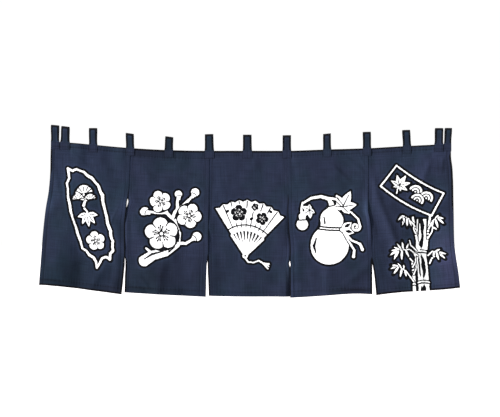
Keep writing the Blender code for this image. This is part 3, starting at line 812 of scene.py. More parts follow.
LEAVES = (                # mm across and down, turn in degrees (0 to the right, 90 down), mm long
    (162, 302, 76, 32), (153, 294, 92, 42), (145, 289, 110, 40), (138, 285, 84, 34),
    (137, 284, 136, 32), (148, 291, 200, 20), (258, 312, 100, 32), (266, 306, 74, 44),
    (274, 301, 48, 42), (274, 300, 18, 28), (266, 303, -36, 22), (254, 338, 34, 26),
    (258, 442, 104, 26), (266, 443, 80, 38), (276, 446, 54, 36), (277, 445, 22, 30),
    (262, 441, -20, 24), (140, 424, 70, 40), (126, 424, 96, 48), (114, 424, 120, 50),
    (108, 426, 148, 40), (110, 425, 178, 30), (124, 424, 236, 32), (132, 424, 264, 36),
    (144, 424, 296, 28), (118, 425, 208, 28), (126, 508, 84, 34), (116, 500, 108, 42),
    (105, 493, 132, 42), (99, 490, 160, 34), (103, 491, 192, 30), (114, 499, 240, 24),
    (124, 505, 272, 20), (180, 458, 250, 20),
)


def cane(s, t, row):
    """A tapering stem, parted at its joints, swollen beside them, with streaks inside."""
    along, aside, length = along_line(s, t, row.foot, row.head)
    at = along / length
    swell, parts = np.zeros_like(s), np.full_like(s, 1.0)
    for joint in row.joints:
        near = (at - joint) * length
        swell += 0.16 * row.half * bell(near, 0.006)
        bent = near + 0.0035 * (aside / row.half) ** 2
        parts = join(parts, np.abs(bent) - 0.0026, np.abs(bent - 0.0110) - 0.0020)
    half = row.half * (1.0 - 0.14 * at) + swell
    shape = cut(np.maximum.reduce((np.abs(aside) - half, -along, along - length)), parts)
    if row.half > 0.015:
        wander = 0.0026 * np.sin(along * 46.0) + 0.0012 * np.sin(along * 131.0)
        gate = np.minimum.reduce([np.abs((at - joint) * length - 0.005) for joint in row.joints])
        wide = 0.0086 * ease(0.008, 0.028, gate) * (0.78 + 0.22 * np.sin(along * 73.0))
        streak = np.abs(aside - wander + 0.003) - wide
        ink = np.abs(aside - 0.0118 + 0.4 * wander) - 0.0032 * ease(0.012, 0.036, gate)
        shape = cut(shape, streak, ink)
    return shape


def bamboo(s, t):
    """Canes first; each twig and leaf is parted from what is behind it by a thin dark line."""
    stems = join(*[cane(s, t, row) for row in CANES])
    twigs = strokes(s, t, *[(points, (0.0030, 0.0025, 0.0020)) for points in TWIGS])
    leaves = np.full_like(s, 1.0)
    for root_s, root_t, turn, length in LEAVES:
        root, length = (root_s / 1000.0, root_t / 1000.0), length / 1000.0
        leaf = blade(s, t, root, away(length, math.radians(turn), root),
                     0.0016 + 0.068 * length, 0.76)
        leaves = join(cut(leaves, leaf - 0.0018), leaf)
    return join(cut(stems, join(twigs, leaves) - 0.0026), cut(twigs, leaves - 0.0008), leaves)


# %% Which figure goes on which panel
def lone_blossom(x, y):
    """One open blossom nearly as high as its place."""
    return blossom(x, y, (0.0, 0.0), 0.46)


FIGURES = (               # for each panel: drawing, middle in mm across and down, turn, mm high
    ((pine_tree, 152, 212, 14, 84), (bamboo_sprig, 184, 303, 14, 84),
     (lone_blossom, 220, 394, 14, 86)),
    ((plum_bough, 190, 314, 0, 302),),
    ((folding_fan, 168, 326, -7, 268),),
    ((gourd_vine, 176, 328, 4, 296),),
    ((maple_leaf, 130, 155, -34, 76), (wave_scales, 210, 206, -34, 88)),
)
PLACED_ALREADY = ((hewn_border,), (), (), (), (oblong_border, bamboo))


def set_on(s, t, motif, middle_s, middle_t, turn_degrees, high):
    """A motif's distance, worked out in its own turned drawing whose unit is its height."""
    turn, high = math.radians(turn_degrees), high / 1000.0
    right, up = (s - middle_s / 1000.0) / high, -(t - middle_t / 1000.0) / high
    x = right * math.cos(turn) + up * math.sin(turn)
    y = -right * math.sin(turn) + up * math.cos(turn)
    return motif(x, y) * high


def print_distance(number, across, down):
    """Signed distance to the white of one panel's print, with a slightly uneven dye edge."""
    s, t = across * PANEL_WIDTH, down * PANEL_DROP
    shapes = [shape(s, t) for shape in PLACED_ALREADY[number]]
    shapes += [set_on(s, t, *row) for row in FIGURES[number]]
    uneven = 0.00035 * np.sin(s * 417.0 + 2.0 * np.sin(t * 233.0))
    uneven += 0.00030 * np.sin(t * 389.0 + 2.0 * np.sin(s * 271.0))
    return join(*shapes) + uneven


# %% [markdown]
# ## From surface to sheet
#
# Each panel becomes one closed sheet. Its front and back are the middle surface moved out
# along its normals, and a narrow strip closes the edge all round. The grid's lines are
# closer at the edges and along the stitching, where the cloth turns quickly, and under the
# print, whose edge would be ragged on a coarse grid. A second map, used when the looks are
# saved as images, lays the front, the back and the edge strip side by side.

# %% Grid lines of a panel
CLOTH_FRONT = 0.0005      # from the middle surface to the front of the cloth
CLOTH_BACK = 0.0005
HEM_BACK = 0.0003         # the turned layers stand this much further out at the back
PLAIN_SPACING, PRINT_SPACING = 0.0044, 0.0021
PRINTED = {               # where the print lies: across from and to, down from and to
    "panel_1": (0.16, 0.94, 0.16, 0.88), "panel_2": (0.12, 0.96, 0.23, 0.83),
    "panel_3": (0.06, 0.98, 0.32, 0.83), "panel_4": (0.07, 0.94, 0.27, 0.80),
    "panel_5": (0.08, 0.98, 0.09, 1.00),
}


def grid_lines(length, near_hem, far_hem, print_from, print_to):
    """Fractions along one direction: close at the edges, the stitching and the print."""
    def border_lines(hem):
        line = hem - STITCH_INSET
        return [0.0, 0.0010, line - 0.0030, line - 0.0015, line, line + 0.0015, hem + 0.0001,
                hem + 0.0010]

    near = border_lines(near_hem)
    far = [length - value for value in border_lines(far_hem)]
    print_ends = [print_from * length, print_to * length]
    fixed = np.array(sorted(near + far + print_ends))
    fixed = fixed[np.concatenate(((True,), np.diff(fixed) > 0.00005))]
    filled = [fixed[:1]]
    for start, end in zip(fixed[:-1], fixed[1:]):
        middle = 0.5 * (start + end)
        spacing = PRINT_SPACING if print_ends[0] < middle < print_ends[1] else PLAIN_SPACING
        steps = max(1, int(math.ceil((end - start) / spacing - 0.25)))
        filled.append(np.linspace(start, end, steps + 1)[1:])
    return np.concatenate(filled) / length


def panel_grid(panel):
    """Across and down fractions of a panel's grid."""
    across_from, across_to, down_from, down_to = PRINTED[panel.name]
    columns = grid_lines(PANEL_WIDTH, SIDE_HEM, SIDE_HEM, across_from, across_to)
    rows = grid_lines(PANEL_DROP, HEMS[panel.name].top, HEMS[panel.name].foot, down_from, down_to)
    return np.meshgrid(columns, rows)


for panel in PANELS:
    across, down = panel_grid(panel)
    print(panel.name, "grid", across.shape, "->", 4 * across.size, "triangles")


# %% Closing a sheet
FACE_SHARE, STRIP_HALF, MAP_MARGIN = 0.488, 0.008, 0.002    # widths on the map for saved images


def sheet_faces(rows, columns):
    """Quads of a closed sheet: front, back the other way round, and a strip round the edge.

    Corner (r, c) of the front is vertex r * columns + c, and the back follows it. Returns the
    quads and the loop of front vertices round the edge.
    """
    front = np.arange(rows * columns).reshape(rows, columns)
    shift = rows * columns
    a, b, c, d = front[:-1, :-1], front[:-1, 1:], front[1:, 1:], front[1:, :-1]
    front_quads = np.stack((a, d, c, b), axis=-1).reshape(-1, 4)
    back_quads = np.stack((a, b, c, d), axis=-1).reshape(-1, 4) + shift
    ring = np.concatenate((front[0, :-1], front[:-1, -1], front[-1, :0:-1], front[:0:-1, 0]))
    after = np.roll(ring, -1)
    edge_quads = np.stack((ring, after, after + shift, ring + shift), axis=-1)
    return np.concatenate((front_quads, back_quads, edge_quads)), ring


def into_scene(name, data):
    """An object for a mesh, lamp or camera, put in the scene."""
    item = bpy.data.objects.new(name, data)
    bpy.context.scene.collection.objects.link(item)
    return item


def mesh_from(name, points, quads):
    """A mesh of quads, written with foreach_set."""
    mesh = bpy.data.meshes.new(name)
    mesh.vertices.add(len(points))
    mesh.vertices.foreach_set("co", points.astype(np.float32).ravel())
    mesh.loops.add(quads.size)
    mesh.loops.foreach_set("vertex_index", quads.astype(np.int32).ravel())
    mesh.polygons.add(len(quads))
    mesh.polygons.foreach_set("loop_start", np.arange(0, quads.size, 4, dtype=np.int32))
    mesh.update(calc_edges=True)
    mesh.shade_smooth()
    return mesh


def set_uv(mesh, name, uv):
    """Write one pair of values for each face corner."""
    layer = mesh.uv_layers.new(name=name, do_init=False)
    layer.uv.foreach_set("vector", uv.astype(np.float32).ravel())


def set_on_vertices(mesh, name, kind, field, values):
    """Write one number or colour for each vertex: the grid's values on the front and the back."""
    data = mesh.attributes.new(name, kind, "POINT").data
    data.foreach_set(field, np.concatenate((values, values)).astype(np.float32).ravel())


def saved_layout(quads, ring, across, down):
    """The map for saved images: front on the left, back on the right, the edge between them."""
    u = np.concatenate((across, across)) * FACE_SHARE
    u[len(across):] = 1.0 - u[len(across):]
    v = np.concatenate((1.0 - down, 1.0 - down)) * (1.0 - 2.0 * MAP_MARGIN) + MAP_MARGIN
    uv = np.stack((u, v), axis=-1)[quads]
    place = np.linspace(MAP_MARGIN, 1.0 - MAP_MARGIN, len(ring) + 1)
    near, far = 0.5 - STRIP_HALF, 0.5 + STRIP_HALF
    corners = ((near, place[:-1]), (near, place[1:]), (far, place[1:]), (far, place[:-1]))
    for number, (edge_u, edge_v) in enumerate(corners):
        uv[-len(ring):, number, 0] = edge_u
        uv[-len(ring):, number, 1] = edge_v
    return uv


def closed_sheet(name, front, back, across, down, flat, numbers, shade, violet):
    """A sheet between two grids of points, with its two maps, its numbers and its dye.

    The colour is shade: the dye's tone and painted light and shade, redder and a little bluer where
    violet.
    The dye's colour is shade, with more red and a little more blue where it leans to violet.
    """
    quads, ring = sheet_faces(*across.shape)
    mesh = mesh_from(name, np.concatenate((front.reshape(-1, 3), back.reshape(-1, 3))), quads)
    flat = np.stack(flat, axis=-1).reshape(-1, 2)
    set_uv(mesh, "cloth", np.concatenate((flat, flat))[quads])
    set_uv(mesh, "OFBake", saved_layout(quads, ring, across.ravel(), down.ravel()))
    for title, values in numbers.items():
        set_on_vertices(mesh, title, "FLOAT", "value", values.ravel())
    dye = (shade * (1.0 + violet), shade, shade * (1.0 + 0.2 * violet), np.ones_like(shade))
    dye = np.stack(dye, axis=-1).reshape(-1, 4)
    set_on_vertices(mesh, "shade", "FLOAT_COLOR", "color", dye)
    return into_scene(name, mesh)


# %% Painted shade of the hems, and patches of the dye with painted light and shade
# Painted shade of the side hems' stitching line and of the side hems, and how wide each painted
# line is.
SIDE_LINE, SIDE_SHADE = 0.30, 0.05
LINE_REACH = 0.0021
# Bells on the cloth's colour. Some are patches of darker, lighter and more violet dye. Others are
# painted light and shade: lighter bands on lit ridges and lapped borders, lighter strips where the
# laps cast shadow, and thin darker lines along hems.
Patch = namedtuple("Patch", "across down reach_across reach_down change violet")
DYE_AND_PAINTED_LIGHT_PATCHES = by_panel(Patch, {   # dye patches, with painted light and painted shade among them
    "panel_1": ((500, 500, 1500, 1500, 0, -90), (300, 180, 400, 200, 140, 0),
        (40, 430, 50, 70, 720, 0), (50, 720, 60, 100, -140, 0), (980, 930, 50, 60, -200, 0),
        (200, 300, 100, 100, 180, 0), (200, 470, 120, 80, -250, 0), (955, 410, 35, 90, 980, 40),
        (950, 680, 50, 60, 200, 0), (500, 980, 400, 160, -300, -200), (450, 870, 140, 80, -160, 0),
        (100, 963, 140, 8, -250, 0), (880, 990, 120, 30, -100, 140), (920, 920, 120, 100, -160, 0)),
    "panel_2": ((220, 30, 180, 50, -260, 0), (500, 20, 600, 80, -60, -80),
        (500, 1000, 600, 220, -280, -60), (45, 540, 45, 170, 200, 0), (30, 360, 35, 70, 340, 0),
        (370, 880, 160, 70, -180, 0), (520, 270, 100, 60, -180, -120), (130, 560, 60, 80, 140, 0),
        (19, 90, 10, 70, 450, 0), (920, 800, 70, 120, -120, 0), (880, 0, 120, 50, 0, -140),
        (600, 1000, 400, 60, 80, -240), (200, 963, 260, 8, -200, 0), (985, 600, 22, 150, 300, 0)),
    "panel_3": ((120, 860, 160, 160, -220, -80), (100, 300, 200, 400, 0, -80),
        (280, 800, 100, 100, -120, -100), (200, 1000, 300, 50, 0, -120),
        (17, 150, 10, 140, 500, 0), (45, 600, 30, 160, 250, 0), (960, 360, 35, 80, 220, 0),
        (950, 720, 35, 100, 200, 0)),
    "panel_4": ((50, 640, 60, 360, 380, -60), (970, 450, 32, 180, 920, 60),
        (960, 100, 50, 80, 200, 0), (30, 950, 50, 60, 340, 0), (970, 420, 30, 50, 400, 0),
        (970, 780, 40, 140, 160, 0), (780, 200, 60, 60, -120, 0), (350, 990, 250, 30, 180, 0),
        (220, 0, 160, 50, 0, -140), (800, 973, 220, 8, -620, 0), (700, 960, 350, 120, -140, 0)),
    "panel_5": ((80, 840, 100, 200, -160, -140), (240, 930, 160, 60, -180, 0),
        (390, 110, 160, 60, 160, 0), (670, 200, 70, 50, 200, 0), (850, 160, 60, 50, -340, 0),
        (500, 480, 80, 100, 180, 0), (840, 660, 100, 80, 0, 140), (800, 870, 80, 80, -200, 0),
        (980, 800, 30, 100, 420, 0), (880, 30, 60, 30, 200, 0), (880, 760, 200, 260, 420, 220),
        (850, 450, 100, 70, -300, -160), (800, 30, 260, 130, 200, 0),
        (760, 120, 100, 120, 200, 40)),
})


def dye_and_painted_light_patches(panel, across, down):
    """1 plus the sum of this panel's bells, for its tone with painted light and shade, and for its
    violet.
    """
    dye_and_light, violet = np.ones_like(across), np.zeros_like(across)
    for patch in DYE_AND_PAINTED_LIGHT_PATCHES[panel.name]:
        share = bell(across - patch.across, patch.reach_across)
        share = share * bell(down - patch.down, patch.reach_down)
        dye_and_light += patch.change * share
        violet += patch.violet * share
    return dye_and_light, violet


def painted_hem_shade(panel, across, down):
    """1 on the open cloth; painted shade makes it less in the thicker hems and least in the groove
    of the stitching.
    """
    distance = edge_distances(across, down)
    hems = HEMS[panel.name]
    losses = (SIDE_SHADE, SIDE_SHADE, hems.top_shade, hems.foot_shade)
    lines = (SIDE_LINE, SIDE_LINE, hems.top_line, hems.foot_line)
    shade = np.ones_like(across)
    for (edge, hem), loss, line in zip(hem_depths(panel), losses, lines):
        shade *= 1.0 - loss * ease(hem + 0.002, hem - 0.002, distance[edge])
        groove = bell(distance[edge] - (hem - STITCH_INSET), LINE_REACH)
        shade *= 1.0 - line * line_weight(panel, edge, down) * groove
    return shade


# The dark rim along the cloth's edges is painted shade where the cloth turns away from the light;
# the eases keep it off lapped edges, most on those that catch the light.
LAP_EASE, LIT_LAP_EASE, SEAM_EASE = 0.0046, 0.0075, 0.0055
# Each row: how much less far in the dark rim of painted edge shade reaches at the left, right, top
# and foot; down to where the left and right sides lie on a neighbour; how far a right side's lap
# keeps the rim off; where down an outer side its rim shows, if not all along: starts, full, full,
# ends.
Rim = namedtuple("Rim", "left right top foot left_to right_to right_lap dark")
EDGE_SHADE_RIMS = {
    "panel_1": Rim(0.0080, 0.0, 0.0038, 0.0006, 0.00, 0.76, LAP_EASE, (-0.20, -0.10, 0.19, 0.26)),
    "panel_2": Rim(0.0, 0.0056, 0.0, 0.0075, 0.77, 0.73, LIT_LAP_EASE, None),
    "panel_3": Rim(0.0012, 0.0012, 0.0, 0.0075, 0.73, 1.20, LAP_EASE, None),
    "panel_4": Rim(0.0012, 0.0, 0.0006, 0.0062, 1.20, 0.76, LIT_LAP_EASE, None),
    "panel_5": Rim(0.0004, 0.0080, 0.0018, 0.0002, 0.76, 0.00, LAP_EASE, (0.05, 0.09, 0.42, 0.50)),
}
LEG_SHADOW_OUT, LEG_SHADOW_REACH = 0.0036, 0.0026     # lines of painted shadow beside the sewn legs
LEG_SHADOW_LEFT, LEG_SHADOW_RIGHT = 0.24, 0.45


def leg_side_shadows(x, below):
    """1, and less in narrow lines of painted shadow along both sides of each sewn leg."""
    lines = beside_loops(x, LEG_SHADOW_OUT, LEG_SHADOW_REACH, LEG_SHADOW_LEFT, LEG_SHADOW_RIGHT)
    return 1.0 - lines * ease(LEG + 0.006, LEG - 0.010, below)


def edge_shade_distance(panel, across, down):
    """Distance to the nearest edge for the rim of painted shade, made longer where the rim is paler
    or an edge is lapped.
    """
    distance, edge_shade = edge_distances(across, down), EDGE_SHADE_RIMS[panel.name]
    pale = 1.0
    if edge_shade.dark:
        starts, full, full_to, ends = edge_shade.dark
        pale = 1.0 - ease(starts, full, down) * ease(ends, full_to, down)
    seam = SEAM_EASE * ease(SEWN - 0.01, SEWN - 0.06, down)
    left_lap = (LAP_EASE + seam) * ease(edge_shade.left_to + 0.02, edge_shade.left_to - 0.03, down)
    right_lap = (edge_shade.right_lap + seam) * ease(edge_shade.right_to + 0.02, edge_shade.right_to - 0.03, down)
    return np.minimum.reduce((distance["left"] + np.maximum(edge_shade.left * pale, left_lap),
                              distance["right"] + np.maximum(edge_shade.right * pale, right_lap),
                              distance["top"] + edge_shade.top, distance["foot"] + edge_shade.foot))


# %% Making one panel's sheet
def make_cloth(number):
    """One panel: two faces off the middle surface, the print's distance and the edge's."""
    panel = PANELS[number]
    across, down = panel_grid(panel)
    middle = panel_surface(number, across, down)
    normal = to_viewer(grid_normals(middle))
    pull = stitch_pull(panel, across, down)[..., None]
    layers = hem_layers(panel, across, down)[..., None]
    # The shade holds dye patches with painted light and shade among them, the painted shade of the
    # hems, and the painted shadows beside the loops' legs.
    dye_and_light, violet = dye_and_painted_light_patches(panel, across, down)
    shade = painted_hem_shade(panel, across, down) * dye_and_light
    shade = shade * leg_side_shadows(middle[..., 0], down * PANEL_DROP)
    numbers = {"print": print_distance(number, across, down),
               "edge": edge_shade_distance(panel, across, down)}
    return closed_sheet("cloth_" + panel.name[-1], middle + normal * (CLOTH_FRONT - pull),
                        middle - normal * (CLOTH_BACK - 0.3 * pull + HEM_BACK * layers), across,
                        down, (across * PANEL_WIDTH, (1.0 - down) * PANEL_DROP), numbers, shade,
                        violet)


cloths = [make_cloth(number) for number in range(len(PANELS))]
for item in cloths:
    print(item.name, len(item.data.polygons) * 2, "triangles")

# %% [markdown]
# ## Dyed cotton
#
# The cloth is a matt plain weave. Its navy isn't even: vat dye takes a little more or less in
# broad patches, some more violet and some more green, and single thick threads show as faint
# streaks along the warp and the weft. White figures are bare cotton with a dark line where
# the dye gathered against the paste. Matt cotton has a faint soft sheen from its fuzz.

# %% Helpers for building a material
class Nodes:
    """A short way to add and join a material's nodes."""

    def __init__(self, name, **shader_values):
        self.material = bpy.data.materials.new(name)
        self.material.use_nodes = True
        self.tree = self.material.node_tree
        self.shader = self.tree.nodes["Principled BSDF"]
        self.settle(**shader_values)

    def settle(self, **shader_values):
        """Set the shader's own values; an underscore stands for a space."""
        for key, value in shader_values.items():
            self.shader.inputs[key.replace("_", " ")].default_value = value

    def fill(self, socket, value):
        """Join a node's result to a socket, or set the socket's value."""
        if isinstance(value, bpy.types.NodeSocket):
            self.tree.links.new(value, socket)
        else:
            socket.default_value = value

    def add(self, kind, inputs=None, **settings):
        """Add a node, set its properties, and fill its inputs."""
        node = self.tree.nodes.new(kind)
        for key, value in settings.items():
            setattr(node, key, value)
        for key, value in (inputs or {}).items():
            self.fill(node.inputs[key], value)
        return node

    def math(self, operation, a, b=0.0):
        """A Math node's result."""
        return self.add("ShaderNodeMath", {0: a, 1: b}, operation=operation).outputs[0]

    def ramp(self, value, low, high, to_low=0.0, to_high=1.0):
        """A value moved smoothly from one range to another."""
        inputs = {"Value": value, "From Min": low, "From Max": high, "To Min": to_low,
                  "To Max": to_high}
        node = self.add("ShaderNodeMapRange", inputs, interpolation_type="SMOOTHSTEP")
        return node.outputs["Result"]

    def noise(self, vector, scale, detail=2.0, roughness=0.5, stretch=None):
        """A Noise texture's value, in space that may be scaled along each axis."""
        if stretch:
            mapping = self.add("ShaderNodeMapping", {"Vector": vector, "Scale": stretch})
            vector = mapping.outputs["Vector"]
        inputs = {"Vector": vector, "Scale": scale, "Detail": detail, "Roughness": roughness}
        return self.add("ShaderNodeTexNoise", inputs).outputs["Fac"]

    def mix(self, factor, a, b, blend_type="MIX"):
        """Two colours mixed."""
        node = self.add("ShaderNodeMix", {"Factor": factor}, data_type="RGBA",
                        blend_type=blend_type)
        self.fill(node.inputs[6], a)
        self.fill(node.inputs[7], b)
        return node.outputs[2]

    def kept(self, name, output="Fac"):
        """A number, or a colour, kept on the mesh's vertices."""
        return self.add("ShaderNodeAttribute", attribute_name=name).outputs[output]

    def metres(self):
        """The place over the flat cloth."""
        return self.add("ShaderNodeUVMap", uv_map="cloth").outputs["UV"]

    def place(self):
        """The place in space."""
        return self.add("ShaderNodeTexCoord").outputs["Object"]

    def times(self, colour, factor):
        """A colour multiplied by a number or by another colour."""
        if factor.type == "VALUE":
            inputs = {"Red": factor, "Green": factor, "Blue": factor}
            factor = self.add("ShaderNodeCombineColor", inputs).outputs["Color"]
        return self.mix(1.0, colour, factor, "MULTIPLY")

    def bump(self, height, strength, distance):
        """Raise the surface by a height."""
        inputs = {"Strength": strength, "Distance": distance, "Height": height}
        node = self.add("ShaderNodeBump", inputs)
        self.fill(self.shader.inputs["Normal"], node.outputs["Normal"])


# %% The navy dye and the weave
NAVY_VIOLET = (0.0078, 0.0113, 0.0242, 1.0)
NAVY_TEAL = (0.0062, 0.0115, 0.0213, 1.0)
# Near-black: the dye gathered round the print, and the painted shade of the edges' rims.
NAVY_DEEP_AND_EDGE_SHADE = (0.0004, 0.0007, 0.0015, 1.0)
STRAP_TEAL = (0.0042, 0.0100, 0.0165, 1.0)
STRAP_VIOLET = (0.0062, 0.0102, 0.0205, 1.0)
THREAD_DARK = (0.0056, 0.0085, 0.0172, 1.0)
THREAD_LIGHT = (0.0080, 0.0118, 0.0235, 1.0)
BARE_COTTON = (0.598, 0.630, 0.623, 1.0)
BARE_SHADE = (0.545, 0.575, 0.575, 1.0)
THREAD_PITCH = 0.0013
WEAVE_DEPTH = 0.00012


def navy_dye(nodes, metres, place, green=NAVY_TEAL, violet=NAVY_VIOLET):
    """Broad patches of two navies, with faint streaks along the threads."""
    patch = nodes.ramp(nodes.noise(place, 6.0, 2.0, 0.55), 0.34, 0.58)
    warp = nodes.noise(metres, 1.0, 3.0, 0.6, (420.0, 9.0, 1.0))
    weft = nodes.noise(metres, 1.0, 3.0, 0.6, (9.0, 420.0, 1.0))
    streak = nodes.ramp(nodes.math("ADD", warp, weft), 0.75, 1.25, 0.76, 1.24)
    return nodes.times(nodes.mix(patch, green, violet), streak)


def weave_height(nodes, metres):
    """Height of a plain weave: the product of two sine waves, one for each thread direction."""
    parts = nodes.add("ShaderNodeSeparateXYZ", {"Vector": metres})
    turn = 2.0 * math.pi / (2.0 * THREAD_PITCH)
    warp, weft = (nodes.math("SINE", nodes.math("MULTIPLY", parts.outputs[axis], turn))
                  for axis in "XY")
    return nodes.math("MULTIPLY", warp, weft)


def cotton_finish(nodes, metres, place):
    """Bump of the weave with its slubs, and an even matt surface with soft sheen."""
    slub = nodes.noise(metres, 1.0, 2.0, 0.5, (260.0, 30.0, 1.0))
    fuzz = nodes.noise(place, 900.0, 1.0, 0.5)
    height = nodes.math("ADD", weave_height(nodes, metres), nodes.math("MULTIPLY", slub, 1.2))
    height = nodes.math("ADD", height, nodes.math("MULTIPLY", fuzz, 0.6))
    nodes.bump(height, 0.35, WEAVE_DEPTH)
    nodes.settle(Sheen_Weight=0.03, Sheen_Roughness=0.55, Specular_IOR_Level=0.05)
    rough = nodes.ramp(nodes.noise(place, 40.0, 2.0), 0.3, 0.7, 0.86, 0.95)
    nodes.fill(nodes.shader.inputs["Roughness"], rough)


# %% The printed cloth
# Distances in metres at which each change starts and is whole: the dark rim of painted shade along
# the cloth's edge, the dark line round a figure, the slightly lighter dye round it, and the white
# itself.
EDGE_SHADE_RIM, GATHERED = (0.0090, 0.0070), (0.0094, 0.0074)
LIGHTER, WHITE = (0.0230, 0.0095), (-0.00005, -0.00075)
FRAY = 0.0007


def printed_cloth():
    """Navy cotton with white figures where the print's distance is below zero."""
    nodes = Nodes("printed_navy_cotton")
    metres, place = nodes.metres(), nodes.place()
    dye = nodes.times(navy_dye(nodes, metres, place), nodes.kept("shade", "Color"))
    # Painted shade: a near-black rim along the cloth's edges.
    edge_shade = nodes.ramp(nodes.kept("edge"), *EDGE_SHADE_RIM, 0.0, 0.97)
    dye = nodes.mix(edge_shade, dye, NAVY_DEEP_AND_EDGE_SHADE)

    frayed = nodes.math("SUBTRACT", nodes.noise(metres, 700.0, 1.0), 0.5)
    distance = nodes.math("ADD", nodes.kept("print"), nodes.math("MULTIPLY", frayed, FRAY))
    dye = nodes.times(dye, nodes.ramp(distance, *LIGHTER, 1.0, 1.24))
    dye = nodes.mix(nodes.ramp(distance, *GATHERED), dye, NAVY_DEEP_AND_EDGE_SHADE)
    bare = nodes.mix(nodes.noise(place, 30.0, 3.0), BARE_SHADE, BARE_COTTON)
    colour = nodes.mix(nodes.ramp(distance, *WHITE), dye, bare)
    nodes.fill(nodes.shader.inputs["Base Color"], colour)
    cotton_finish(nodes, metres, place)
    return nodes.material


def put_on(material, items):
    """Give every item the same material."""
    for item in items:
        item.data.materials.append(material)


put_on(printed_cloth(), cloths)
print("printed cloth on", len(cloths), "panels")

# %% [markdown]
# ## The loops
#
# Each loop is a strap of doubled cotton, turned in along both sides, stitched, and folded
# over the rod's place. Its legs go down over the front and the back of the top hem and are
# sewn through. The strap follows a path in side view: up the front, round the eye and down
# the back. Across its width it is a little thicker at the turned edges.

# %% Path of a loop
SEWN_DOWN = 0.0007        # from the hem to the strap's middle: the stitching pulls it close


def covered_layers(loop):
    """Half the thickness of cloth that a loop straddles, and the middle of that cloth."""
    for this, following in zip(PANELS[:-1], PANELS[1:]):
        seam = 0.5 * (RIGHT_SIDES[this.name][0].x + LEFT_SIDES[following.name][0].x)
        if abs(loop.foot_x - seam) < 0.5 * LOOP_WIDTH:
            return HEM_THICK + 0.5 * GAP, 0.5 * HEM_BACK, this
    for panel in PANELS:
        left, right = LEFT_SIDES[panel.name][0].x, RIGHT_SIDES[panel.name][0].x
        if left - 0.001 <= loop.foot_x <= right + 0.001:
            across = (loop.foot_x - left) / (right - left)
            layer = panel.left_layer + (panel.right_layer - panel.left_layer) * across
            return 0.5 * HEM_THICK, LAYER * layer + 0.5 * HEM_BACK, panel
    raise ValueError(loop.name + " stands over no panel")


def loop_path(loop):
    """Middle line of the strap in side view, as depth and height above the cloth's edge."""
    half_cloth, middle, _ = covered_layers(loop)
    leg_out = half_cloth + SEWN_DOWN
    radius = EYE_RADIUS - 0.5 * STRAP
    centre = loop.top_z - loop.foot_z - EYE_RADIUS
    rise = np.linspace(0.0, 1.0, 18)[1:-1]
    turn = np.linspace(0.0, 0.5 * np.pi, 15)
    neck_y = leg_out + (radius - leg_out) * ease(0.0, 1.0, rise)
    half_y = np.concatenate((np.full(13, leg_out), neck_y, radius * np.cos(turn)))
    half_z = np.concatenate((np.linspace(-LEG, NECK, 13), NECK + (centre - NECK) * rise,
                             centre + radius * np.sin(turn)))
    shift = middle * ease(centre, NECK, half_z)
    y = np.concatenate((shift - half_y, (shift + half_y)[-2::-1]))
    return y, np.concatenate((half_z, half_z[-2::-1]))


# %% How light each strap is, and how it is worn
# Each row, in thousandths: how light or dark its left, middle and right third are, how far it
# leans to violet; in mm how much wider it is, moved to the right, flared at its left foot and
# moved at its foot, and how much its foot is wider on the left and on the right.
Strap = namedtuple("Strap", "left middle right violet wider shift flare lean foot_left foot_right")
STRAPS = rows_of(Strap, (
    (1300, 880, 2000, -140, 0, 0, 0, 0, 0, 0), (1500, 1050, 1500, 20, 0, 0, 2.6, 0, 3.4, 0),
    (1340, 1300, 1220, 0, 0.3, 0, 0, 0, 0, 0), (1070, 1120, 1500, -120, 0, 0, 0, 0, 0, 0),
    (760, 760, 920, -240, 0, 0, 0, -1.4, 1.6, 0), (1120, 940, 1250, -160, 2.3, 0, 0, 0, 0, 2.2),
    (1100, 840, 1150, -120, 3.4, 0, 0, 0, 0, 1), (1140, 780, 1200, 80, 2.1, 0, 0, 0, 0, 0),
    (1160, 1100, 1070, 90, -1.2, 0, 0, 0, 0, 1.2), (1200, 940, 1480, -60, 0, -1, 0, 0, 0, 0),
    (1160, 1100, 1200, -70, -1.3, -1.7, 0, 0, 0, 1.4),
    (1400, 1080, 2000, 100, 0, 0, 1.4, 0, 1.2, 0), (1150, 1050, 1150, 0, -1.7, 0, 0, -3.3, 0, 0),
))
print("straps in the table:", len(STRAPS))

# %% Making one loop
STRAP_COLUMNS = np.array((0, 3, 7, 11, 15, 32, 50, 68, 85, 89, 93, 97, 100)) / 100.0
STRAP_SEAM = 0.09         # the strap's edge stitching, as a share of its width
LEG_THIN, LEG_IN = 0.62, 0.0003     # the sewn legs are pressed thin and drawn to the cloth
BOX_LOW, BOX_HIGH = 0.0035 - LEG, -0.0030     # heights of the cross rows of a leg's stitching
SEAM_PULL, ROW_REACH = 0.00032, 0.0013        # depth and width of the grooves along them
CROWN = 0.00012           # how much thicker a strap is in its middle
FLATTER = 0.00015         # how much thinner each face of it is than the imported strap's
strap_dice = np.random.default_rng(7)


def strap_outline(loop, worn, width, lift):
    """Distance from the middle line of a loop, and x, for shares of its width and height."""
    waver = strap_dice.uniform(-1.0, 1.0, 3)
    aside = (width - 0.5) * loop.width * (1.05 + 0.10 * np.exp(-lift / 0.16))
    aside = aside + 0.0004 * waver[0] * np.sin(3.0 * lift)
    aside = aside + worn.wider * (width - 0.5) - worn.flare * np.exp(-lift / 0.10) * (1.0 - width)
    aside = aside + (1.0 - lift) * (worn.foot_right * width - worn.foot_left * (1.0 - width))
    moved = worn.shift + worn.lean * (1.0 - lift)
    return aside, loop.foot_x + (loop.top_x - loop.foot_x) * lift + aside + moved


